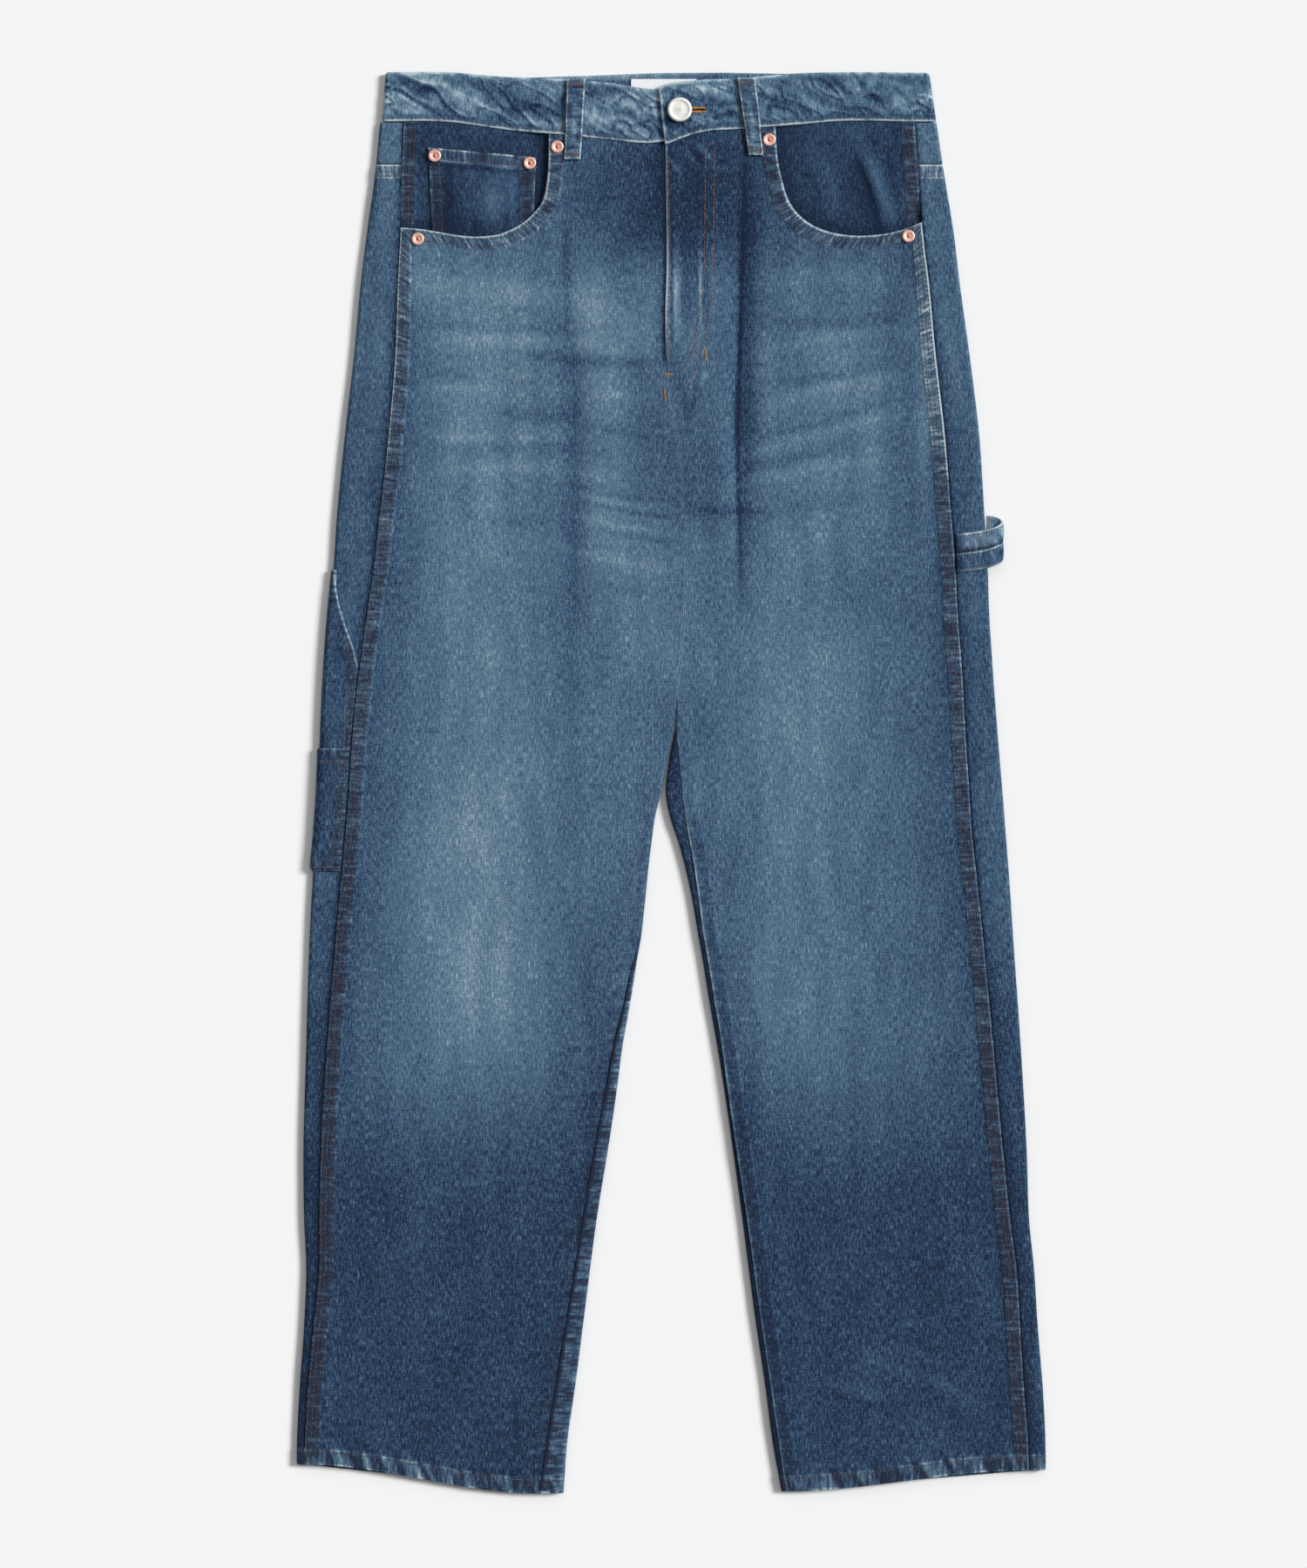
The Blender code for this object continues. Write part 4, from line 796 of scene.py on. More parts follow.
def sew(name, lines, finish, length=STITCH_LENGTH, pitch=STITCH_PITCH, radius=THREAD_RADIUS):
    """Rows of stitches as one mesh: each is a short rod whose ends dive into the cloth.

    lines holds pairs of points and outward directions along each row, in millimetres.
    """
    starts, ends, ups = [], [], []
    for points, normals in lines:
        run = np.concatenate([[0.0], np.cumsum(np.linalg.norm(np.diff(points, axis=0), axis=1))])
        first = np.arange(0.0, run[-1] - length, pitch)
        for places, store in ((first, starts), (first + length, ends)):
            store.append(np.stack([np.interp(places, run, points[:, k]) for k in range(3)], axis=-1))
        ups.append(np.stack([np.interp(first, run, normals[:, k]) for k in range(3)], axis=-1))
    start, end, up = (np.concatenate(group) for group in (starts, ends, ups))
    along = end - start
    up = up / np.linalg.norm(up, axis=1, keepdims=True)
    across = np.cross(along / np.linalg.norm(along, axis=1, keepdims=True), up)
    stations = np.array([0.0, 0.2, 0.8, 1.0])
    swell = np.array([0.5, 1.0, 1.0, 0.5]) * radius
    rise = np.array([-0.35, 0.35, 0.35, -0.35]) * radius
    turns = np.arange(THREAD_SIDES) * 2 * np.pi / THREAD_SIDES
    centre = start[:, None] + along[:, None] * stations[:, None] + up[:, None] * rise[:, None]
    ring = across[:, None, None] * np.cos(turns)[:, None] + up[:, None, None] * np.sin(turns)[:, None]
    points = centre[:, :, None] + ring * swell[:, None, None]
    one = np.arange(4 * THREAD_SIDES).reshape(4, THREAD_SIDES)
    beside = np.roll(one, -1, 1)
    sides = np.stack([one[:-1], beside[:-1], beside[1:], one[1:]], axis=-1).reshape(-1, 4)
    offsets = np.arange(len(start))[:, None, None] * one.size
    faces = (sides + offsets).reshape(-1, 4).tolist()
    faces += (np.stack([one[0, ::-1], one[-1]]) + offsets).reshape(-1, THREAD_SIDES).tolist()
    mesh = bpy.data.meshes.new(name)
    mesh.from_pydata(points.reshape(-1, 3) * MM, [], faces)
    piece = hang(name, mesh, finish)
    return piece


def front_rows(side):
    """Rows of a front panel, down the pocket mouth and then down the side seam to the hem."""
    hem_seam, hem_inner = HEM[side]
    mouth = np.stack([column(POCKETS[side], name) for name in ("x", "up", "lean", "rise_up")])
    run = np.concatenate([[0.0], np.cumsum(np.hypot(np.diff(mouth[0]), np.diff(mouth[1])))])
    place = np.linspace(0, run[-1], MOUTH_ROWS)
    mouth_x, mouth_up = hermite(run, mouth[0], place), hermite(run, mouth[1], place)
    mouth_lean, mouth_rise = np.interp(place, run, mouth[2]), np.interp(place, run, mouth[3])
    last_step = EDGE_STEPS[-1]
    seam_up = np.linspace(mouth_up[-1], hem_seam + last_step, SEAM_ROWS + 2)[1:-1]
    seam_up = np.concatenate([seam_up, hem_seam + EDGE_STEPS[::-1]])
    keys = np.concatenate([[hem_seam], column(FRONT_ROWS, "seam_up")[::-1], [mouth_up[-1]]])
    levels = np.concatenate([[hem_inner], column(FRONT_ROWS, "inner_up")[::-1], [mouth_rise[-1]]])
    leans = np.concatenate([[0.0], column(FRONT_ROWS, "lean")[::-1], [mouth_lean[-1]]])
    keys = np.insert(keys, 1, hem_seam + last_step)
    levels = np.insert(levels, 1, hem_inner + last_step)
    leans = np.insert(leans, 1, 0.0)
    out = np.concatenate([side * mouth_x, edge(side, "seam", seam_up) - SEAM_GAP / 2])
    up = np.concatenate([mouth_up, seam_up])
    inner_up = np.concatenate([mouth_rise, np.interp(seam_up, keys, levels)])
    lean = np.radians(np.concatenate([mouth_lean, np.interp(seam_up, keys, leans)]))
    along = np.concatenate([[0.0], np.cumsum(np.hypot(np.diff(out), np.diff(up)))])
    return out, up, lean, inner_up, up - hem_seam, along


def fly_height(side, x, up):
    """The lapped fly of the left front stands above the right front, as far as its curved stitching."""
    if side == RIGHT:
        return np.zeros_like(x)
    across = within(x, 20.0, 14.0)
    return across * smooth_step((up - 285.0) / 40.0)


WAIST_LINE = {
    RIGHT: (
        ("x", "low", "top"),
        (-207.0, 470.0, 505.0),
        (-160.0, 469.8, 505.0),
        (-114.0, 463.8, 501.5),
        (-78.5, 460.7, 500.3),
        (-45.0, 457.2, 497.5),
        (-10.0, 455.2, 493.0),
        (4.0, 458.5, 493.5),
        (16.0, 463.5, 494.5),
    ),
    LEFT: (
        ("x", "low", "top"),
        (-9.0, 453.2, 493.6),
        (-4.5, 453.6, 496.0),
        (6.0, 457.4, 498.0),
        (16.5, 461.0, 499.0),
        (52.5, 465.0, 501.2),
        (85.5, 467.5, 504.0),
        (124.0, 470.5, 505.0),
        (145.0, 470.5, 505.0),
        (166.5, 470.0, 504.7),
        (189.0, 470.0, 504.5),
    ),
}
SIDE_STITCHES = (1.4, 4.6, 8.0)
MOUTH_STITCHES = (2.6, 8.6)
HEM_STITCH = 9.4
INNER_STITCHES = (1.6, 7.8)


def hem_dress(side, x, hem):
    """Lift, wear, paleness and blotches of a turned hem: twisted puckers, paler on the right leg."""
    lift, wear = seam_dress(hem, x * 1.6, 40 + side, (0.0, HEM_BAND), (HEM_STITCH,), 0.36, 0.2)
    blotch = noise((x + 0.6 * hem) / 4.2, hem / 40.0, 66 + side)
    return lift, wear * 1.5, 0.24 - 0.14 * side + 0.6 * blotch, blotch


def front_grid(side, out, up, lean, inner_up):
    """Middle of a front panel: each row is a cubic curve in plan, laid on the leg's tube.

    It gives points, outward directions, places out from the middle, heights, how far along its row each
    point lies, and the rows' lengths.
    """
    inner_out = edge(side, "edge", inner_up) - EDGE_REACH + front_end(side, inner_up)
    length = np.hypot(out - inner_out, up - inner_up)
    edge_width = EDGE_STEPS[-1]
    middle = np.linspace(0, 1, MIDDLE_COLUMNS + 2)[1:-1]
    run = np.concatenate([
        np.repeat(EDGE_STEPS[None], len(length), axis=0),
        edge_width + (length - 2 * edge_width)[:, None] * middle,
        length[:, None] - EDGE_STEPS[::-1],
    ], axis=1)
    f = (run / length[:, None])[..., None]
    handle = length / 3
    start = np.stack([out, up], axis=-1)[:, None]
    first = start + np.stack([-np.cos(lean) * handle, -np.sin(lean) * handle], axis=-1)[:, None]
    end = np.stack([inner_out, inner_up], axis=-1)[:, None]
    second = end + np.stack([handle, np.zeros_like(handle)], axis=-1)[:, None]
    flat = start * (1 - f) ** 3 + 3 * first * f * (1 - f) ** 2 + 3 * second * f * f * (1 - f) + end * f ** 3
    across, height = flat[..., 0], flat[..., 1]
    top = curve(WAIST_LINE[side], "x", "low", side * across[0]) - BAND_GAP
    ease = np.clip(1 - np.arange(len(out)) / TOP_EASE_ROWS, 0, 1)[:, None]
    height = height + (top - height[0]) * ease ** 2
    point, normal = section(side, height, across - edge(side, "edge", height) + EDGE_REACH)
    return point, normal, across, height, run, length


def lap_dress(x, height, inner_up, from_inner, low):
    """Lift and wear of the left front's inner edge: a pale lap with upright ribs beside it, and a
    pale inner seam below."""
    rise = np.clip(inner_up - 300.0, 0, 60) / 60.0
    wear = rise * (1.0 * bump_at(from_inner - 0.4, 1.1) - 0.12 * bump_at(from_inner - 4.0, 3.0))
    ribs = noise(x / 2.6, height / 90.0, 63) * bump_at(x - 12.0, 15.0) * bump_at(height - 338.0, 44.0)
    seam_wear = low * (0.5 * bump_at(from_inner, 1.2) - 0.22 * bump_at(from_inner - 6.0, 4.0))
    return 0.3 * ribs, wear + 0.75 * ribs + seam_wear


def tucked_edge_shade(inner_up, from_inner, low):
    """Painted shade on the right front's inner edge: deep blue where it runs in under the lap and
    the left leg.
    """
    rise = np.clip(inner_up - 296.0, 0, 10) / 10.0
    wear = -0.9 * rise * bump_at(from_inner, 1.8) - 0.15 * rise * bump_at(from_inner - 3.0, 4.0)
    return wear - 0.4 * low * bump_at(from_inner, 1.6)


def front_panel(side, finish):
    """Front panel: rows swept from the pocket mouth and side seam to the rise and inner seam.

    The lift is the largest of its raised bands, then puckers, stitch grooves and the slack of loose
    cloth.
    """
    rows = front_rows(side)
    point, normal, across, height, run, length = front_grid(side, *rows[:4])
    inner_up, to_hem, along = (values[:, None] for values in rows[3:])
    x, flatness = point[..., 0], np.clip(normal[..., 2], 0, 1)
    from_inner = length[:, None] - run
    hem = np.broadcast_to(to_hem, run.shape)
    low = smooth_step(-inner_up / 40.0)

    lift = np.maximum(ridge(run), ridge(hem, HEM_BAND))
    lift = np.maximum(lift, fly_height(side, x, height))
    if side == LEFT:
        lift = np.maximum(lift, ridge(from_inner) * low)
    loose = smooth_step((from_inner - 2.0) / 14.0) * smooth_step((run - 10.0) / 12.0)
    lift = lift + slack(x, height) * (loose * smooth_step(hem / 14.0))

    on_side = smooth_step((np.arange(len(run)) - MOUTH_ROWS + 6) / 6.0)[:, None]
    hip, shin = smooth_step((height - 200.0) / 60.0), smooth_step((60.0 - height) / 160.0)
    rim = 0.3 + 0.75 * hip + 0.25 * (side == LEFT)
    seam_lift, seam_wear = seam_dress(run, along, 20 + side, stitch_lines=SIDE_STITCHES, rim=rim, uneven=0.4)
    on_seam = within(run, SEAM_BAND, 2.0)
    seam_wear = seam_wear + (0.24 * hip * (side == LEFT) - (0.2 - 0.05 * side) * shin) * on_seam
    mouth_lift, mouth_wear = seam_dress(run, along, 30 + side, stitch_lines=MOUTH_STITCHES, rim=1.0,
                                        uneven=0.6)
    hem_lift, hem_wear, hem_pale, blotch = hem_dress(side, x, hem)
    inner_lift, inner_wear = seam_dress(from_inner, height, 50 + side, stitch_lines=INNER_STITCHES,
                                        pucker=0.2)
    lift = lift + seam_lift * on_side + mouth_lift * (1 - on_side) + hem_lift + inner_lift * low
    wear = wear_and_fold_shade(side, x, height) + seam_wear * on_side + mouth_wear * (1 - on_side)
    hem_band = 0.8 * within(hem, HEM_BAND, 1.5)
    wear = wear + hem_wear + hem_pale * hem_band + inner_wear * low * 0.4
    wear = wear + 0.22 * blotch * bump_at(hem - 14.0, 4.5)
    if side == LEFT:
        lap_lift, lap_wear = lap_dress(x, height, inner_up, from_inner, low)
        lift, wear = lift + lap_lift, wear + lap_wear
    else:
        # Painted shade where the right front runs in under the lap and beside the inner seam.
        wear = wear + tucked_edge_shade(inner_up, from_inner, low)
    joined = smooth_step((inner_up - 56.0) / 10.0) * smooth_step((292.0 - inner_up) / 8.0)
    wear = wear + 0.25 * joined * bump_at(from_inner, 0.9)

    inner_band = 0.3 * low * within(from_inner, 7.0, 5.0)
    band = np.maximum(within(run, SEAM_BAND, 1.5), np.maximum(hem_band, inner_band))
    seam_run = np.stack([along * np.ones_like(run), run], axis=-1)
    seam_run = np.where((from_inner < 14.0)[..., None], np.stack([height, from_inner], axis=-1), seam_run)
    seam_run = np.where((hem < 12.5)[..., None], np.stack([x, hem], axis=-1), seam_run)
    border = np.minimum(np.minimum(run, from_inner + 9.0 * joined), hem)
    outer = point + normal * (CLOTH / 2 * edge_round(border) + lift * flatness)[..., None]
    grain = np.stack([side * across, height], axis=-1)
    marks = {"wear": wear, "band": band, "seam_run": seam_run}
    name = SIDE_NAMES[side]
    piece = dress(f"{name}_front_denim", outer, point, normal, CLOTH, grain, marks, finish)
    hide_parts(f"front_{name}")
    return piece, outer, normal, run, length


leg_denim = denim("washed_indigo_twill")
seam_thread = spun_thread("faded_rust_thread", colour(54, 49, 57), colour(116, 97, 97))
front_lines, side_lines = [], []
fronts = {}
for side in (RIGHT, LEFT):
    piece, outer, normal, run, length = front_panel(side, leg_denim)
    fronts[side] = (outer, normal, run, length)
    seam = np.arange(MOUTH_ROWS + 2, len(length) - 2)
    for distance in SIDE_STITCHES:
        side_lines.append(grid_line(outer, normal, seam, level_line(run[seam], distance)))
    mouth = np.arange(4, MOUTH_ROWS - 1)
    for distance in MOUTH_STITCHES:
        front_lines.append(grid_line(outer, normal, mouth, level_line(run[mouth], distance)))
    hem_row = len(length) - 1 - edge_line(HEM_STITCH)
    front_lines.append(grid_line(outer, normal, hem_row, np.linspace(1.0, outer.shape[1] - 2.0, 160)))
sew("side_seam_thread", side_lines, seam_thread)
sew("front_thread", front_lines, seam_thread)

# Back panels: the same twill, wrapped from the side seam on top round the outer fold, along the
# surface the jeans lie on, and round the inner fold to the inner seam. They share the fronts' hems.
BACK_ROWS = (
    ("seam_up", "inner_up"),
    (410.0, 368.0),
    (394.6, 350.0),
    (380.0, 332.0),
    (362.0, 308.0),
    (338.0, 278.0),
    (310.0, 243.0),
    (275.0, 196.0),
    (238.0, 143.0),
    (200.0, 88.0),
    (160.0, 60.0),
    (122.0, 38.0),
    (85.0, 16.0),
    (52.0, -8.0),
)
BACK_MIDDLE_ROWS = 291
# Columns of a back: its strip on top, the outer fold, the run below and the inner fold.
STRIP_COLUMNS, FOLD_COLUMNS, UNDER_COLUMNS, INSIDE_COLUMNS = 16, 13, 11, 25
YOKE_SEAM = (439.5, 400.0)
YOKE_STITCHES = (1.8, 5.0, 8.2)
INNER_BAND = 13.0


def back_grid(side, up_outer, up_inner):
    """Middle of a back piece, from the side seam round the outer fold, below and to its inner end.

    The flat run below is stretched at each height to reach the tube's own inner fold.
    """
    start = (seam_place(side, up_outer) + SEAM_GAP / 2)[:, None]
    half_turn = np.pi * FOLD_RADIUS
    outer_start, inner_start = tangents(side, up_inner)
    end, share = back_end(side, up_inner)[:, None], fold_share(up_inner)[:, None]
    flat_run = (outer_start - inner_start)[:, None]
    step = np.linspace(0, 1, INSIDE_COLUMNS)
    folded = half_turn + flat_run + (end - half_turn - flat_run) * step
    inside = share * folded + (1 - share) * (end - 15.0 * (1 - step))
    under = half_turn + (inside[:, :1] - half_turn) * np.linspace(0, 1, UNDER_COLUMNS + 2)[1:-1]
    strip = start * (1 - np.linspace(0, 1, STRIP_COLUMNS + 1)[:-1] ** 1.4)
    fold = half_turn * np.linspace(0, 1, FOLD_COLUMNS) * np.ones_like(start)
    t = np.concatenate([strip, fold, under, inside], axis=1)
    travel = np.clip((t - half_turn) / (inside[:, :1] - half_turn), 0, 1)
    height = up_outer[:, None] + (up_inner - up_outer)[:, None] * travel
    outer_here, inner_here = tangents(side, height)
    flat = np.clip((t - half_turn) / flat_run, 0, 1)
    point, normal = section(side, height, t + flat * (outer_here - inner_here - flat_run))
    return point, normal, t - start, end - t, height, flat


def back_wear(x, up):
    """Wear of the backs: even over the thigh, deep below the knee, as at the front's sides."""
    level = 0.07 + 0.3 * smooth_step((up + 260.0) / 180.0) + 0.13 * smooth_step((up - 230.0) / 90.0)
    return level + 0.08 * noise(x / 7.0, up / 30.0, 12) + 0.06 * noise(x / 4.0, up / 9.0, 13)


def back_panel(side, finish):
    """Back panel from the yoke seam to the hem, with its raised hem and the felled yoke seam."""
    hem_seam, hem_inner = HEM[side]
    last = EDGE_STEPS[-1]
    top_seam, top_inner = (height - SEAM_GAP / 2 for height in YOKE_SEAM)
    keys, levels = (
        np.array([hem, hem + last, *column(BACK_ROWS, name)[::-1], top - last, top])
        for hem, name, top in ((hem_seam, "seam_up", top_seam), (hem_inner, "inner_up", top_inner)))
    up_outer = np.concatenate([
        top_seam - EDGE_STEPS,
        np.linspace(top_seam - last, hem_seam + last, BACK_MIDDLE_ROWS + 2)[1:-1],
        hem_seam + EDGE_STEPS[::-1],
    ])
    up_inner = np.interp(up_outer, keys, levels)
    point, normal, from_seam, from_end, height, flat = back_grid(side, up_outer, up_inner)
    x, flatness = point[..., 0], np.clip(normal[..., 2], 0, 1)
    from_top = np.broadcast_to((top_seam - up_outer)[:, None], x.shape)
    hem = np.broadcast_to((up_outer - hem_seam)[:, None], x.shape)
    lift = np.maximum(ridge(from_top), ridge(hem, HEM_BAND))
    below = smooth_step((-105.0 - height) / 40.0)
    if side == RIGHT:
        lift = np.maximum(lift, np.where(flat >= 1, SEAM_RIDGE, 0) * below)
    top_lift, top_wear = seam_dress(from_top, from_seam, 70 + side, (0.0, SEAM_BAND), YOKE_STITCHES)
    hem_lift, hem_wear, hem_pale, _ = hem_dress(side, x, hem)
    inner_lift, inner_wear = seam_dress(from_end, height, 50 + side, (0.0, INNER_BAND), INNER_STITCHES,
                                        pucker=0.3)
    strip = below if side == RIGHT else 0.35 * below
    lift = lift + top_lift + hem_lift + inner_lift * strip
    lift = lift + (0.25 * noise(x / 9.0, height / 26.0, 72 + side) - 0.2) * smooth_step(from_seam / 3.0)
    wear = back_wear(x, height) + top_wear + hem_wear + 1.3 * inner_wear * strip
    on_top, on_hem = within(from_top, SEAM_BAND, 1.5), within(hem, HEM_BAND, 1.5)
    wear = wear + hem_pale * on_hem
    wear = wear + 0.34 * within(from_top, SEAM_BAND, 1.0)
    # Painted shadow of the front's raised side seam band, falling on the back's edge beside it.
    wear = wear - 0.5 * bump_at(from_seam, 1.8) - 0.12 * bump_at(from_seam - 3.0, 4.0)
    near_inner = (flat >= 1) * fold_share(height)
    # Painted shadow line along the inner seam; on the left leg, painted shade over the low strip near the
    # parting, and on the right leg a paler worn strip.
    wear = wear - 1.9 * strip * bump_at(from_end - 0.4, 1.3)
    wear = wear + near_inner * (0.22 * below if side == RIGHT else -0.34)
    on_inner = strip * within(from_end, INNER_BAND, 2.0)
    band = np.maximum(np.maximum(on_top, on_hem), on_inner)
    seam_run = np.where((from_end < 20.0)[..., None], np.stack([height, from_end], axis=-1),
                        np.stack([from_seam, from_top], axis=-1))
    border = np.minimum(np.minimum(from_seam, from_end), np.minimum(from_top, hem))
    outer = point + normal * (CLOTH / 2 * edge_round(border) + lift * flatness)[..., None]
    grain = np.stack([from_seam, height], axis=-1)
    name = f"back_{SIDE_NAMES[side]}"
    marks = {"wear": wear, "band": band, "seam_run": seam_run}
    piece = dress(f"{name}_denim", outer, point, normal, CLOTH, grain, marks, finish)
    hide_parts(name)
    return piece, outer, normal


back_lines = []
for side in (RIGHT, LEFT):
    piece, outer, normal = back_panel(side, leg_denim)
    visible = np.linspace(1.0, 21.0, 60)
    for distance in YOKE_STITCHES:
        back_lines.append(grid_line(outer, normal, edge_line(distance), visible))
    hem_row = outer.shape[0] - 1 - edge_line(HEM_STITCH)
    back_lines.append(grid_line(outer, normal, hem_row, visible))
    back_lines.append(grid_line(outer, normal, hem_row, np.linspace(48.0, 63.0, 60)))
sew("back_thread", back_lines, seam_thread)

# Yokes: a second piece of the same twill across the back, under the waistband. Only their ends show,
# beside the hips, above the felled seam that joins them to the backs.
YOKE_TOP = 469.2
YOKE_ROWS = 41


def yoke(side, finish):
    """Back yoke: the same wrap as the back panel, between the waistband and the slanted seam."""
    share = np.linspace(0, 1, YOKE_ROWS)
    low_seam, low_inner = (height + SEAM_GAP / 2 for height in YOKE_SEAM)
    up_outer = YOKE_TOP + (low_seam - YOKE_TOP) * share
    up_inner = YOKE_TOP + (low_inner - YOKE_TOP) * share
    point, normal, from_seam, _, height, _ = back_grid(side, up_outer, up_inner)
    x, flatness = point[..., 0], np.clip(normal[..., 2], 0, 1)
    from_low = np.broadcast_to((up_outer - low_seam)[:, None], x.shape)
    lift = (0.2 * noise(x / 7.0, height / 11.0, 80 + side) - 0.15) * smooth_step(from_seam / 3.0)
    # Painted shadow beside the side seam's raised band, as on the backs, and a darker line along the low edge
    # by the yoke seam.
    wear = back_wear(x, height) + 0.04 - 0.3 * bump_at(from_seam, 2.2) - 0.25 * bump_at(from_low, 1.6)
    border = np.minimum(from_seam, from_low)
    outer = point + normal * (CLOTH / 2 * edge_round(border) + lift * flatness)[..., None]
    name = f"yoke_{SIDE_NAMES[side]}"
    grain = np.stack([from_seam, height], axis=-1)
    piece = dress(f"{name}_denim", outer, point, normal, CLOTH, grain, {"wear": wear}, finish)
    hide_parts(name)
    return piece


for side in (RIGHT, LEFT):
    yoke(side, leg_denim)

# Pocket facings: deeper blue denim behind each scooped mouth, caught in the side seam and under the
# waistband. It lies low beside the mouth, where the pocket opens, and rises to the seams.
FACING_TOP_LOW = 3.0
FACING_RISE = 3.0
FACING_RISE_START = 7.0
FACING_RISE_LENGTH = 28.0
FACING_ROWS = (
    ("seam_up", "inner_up"),
    (469.2, 457.0),
    (453.0, 441.3),
    (445.0, 433.3),
    (432.0, 424.0),
    (418.0, 412.0),
    (406.0, 402.0),
    (396.0, 394.0),
    (386.0, 386.0),
    (376.0, 376.0),
    (362.0, 362.0),
)
FACING_LAST_ROW = len(FACING_ROWS) - 2
FACING_LINES, FACING_COLUMNS = 105, 110
FACING_INNER = {RIGHT: 60.0, LEFT: 49.0}
FACING_STITCHES = (2.0, 5.0, 8.0)
FACING_CREASES = (
    ("x0", "up0", "x1", "up1", "width", "height"),
    (131.0, 447.0, 151.0, 388.0, 2.6, -1.3),
    (137.0, 447.0, 158.0, 392.0, 3.4, 0.9),
    (112.0, 455.0, 122.0, 400.0, 5.0, -0.5),
    (96.0, 450.0, 104.0, 405.0, 6.0, 0.4),
)
# Painted shade in the left facing's creases, and paler painted light on their lit sides: added to the wear,
# not to the shape.
PAINTED_FACING_SHADES = (
    ("x0", "up0", "x1", "up1", "width", "height"),
    (129.0, 452.0, 152.0, 382.0, 1.8, -1.3),
    (124.0, 450.0, 146.0, 384.0, 5.0, -0.2),
    (134.5, 462.0, 160.0, 380.0, 5.0, 0.36),
    (143.0, 450.0, 166.0, 384.0, 3.0, 0.18),
    (150.0, 462.0, 166.0, 396.0, 3.0, -0.14),
    (80.0, 468.0, 150.0, 460.0, 6.0, 0.12),
    (96.0, 462.0, 106.0, 430.0, 7.0, 0.12),
    (108.0, 452.0, 118.0, 400.0, 6.0, 0.1),
)


def upright(points):
    """Outward directions of a patch that lies flat."""
    normal = np.zeros_like(points)
    normal[..., 2] = 1
    return normal


def mouth_distance(side, x, up):
    """Distance from the pocket mouth, counted above 0 on the side where the facing shows."""
    mouth = np.stack([column(POCKETS[side], "x"), column(POCKETS[side], "up")], axis=-1)
    place = np.stack([x, up], axis=-1)[..., None, :]
    start, run = mouth[:-1], np.diff(mouth, axis=0)
    share = np.clip(((place - start) * run).sum(-1) / (run * run).sum(-1), 0, 1)
    off = place - start - share[..., None] * run
    distance = np.hypot(off[..., 0], off[..., 1])
    nearest = distance.argmin(-1)[..., None]
    turn = run[:, 0] * off[..., 1] - run[:, 1] * off[..., 0]
    shown = np.sign(np.take_along_axis(turn, nearest, -1)[..., 0]) * side
    return np.take_along_axis(distance, nearest, -1)[..., 0] * shown


def facing_points(side, level, out):
    """Places on a facing at fractional rows of its table and distances out, with its top height."""
    count = np.arange(FACING_LAST_ROW + 1)
    seam_up = np.interp(level, count, column(FACING_ROWS, "seam_up"))
    inner_up = np.interp(level, count, column(FACING_ROWS, "inner_up"))
    seam = edge(side, "seam", seam_up) - SEAM_GAP / 2
    up = seam_up + (inner_up - seam_up) * (seam - out) / (seam - FACING_INNER[side])
    x = side * out
    up = np.where(level <= 0, curve(WAIST_LINE[side], "x", "low", x) - BAND_GAP, up)
    rise = smooth_step((mouth_distance(side, x, up) - FACING_RISE_START) / FACING_RISE_LENGTH)
    return x, up, FACING_TOP_LOW + FACING_RISE * rise


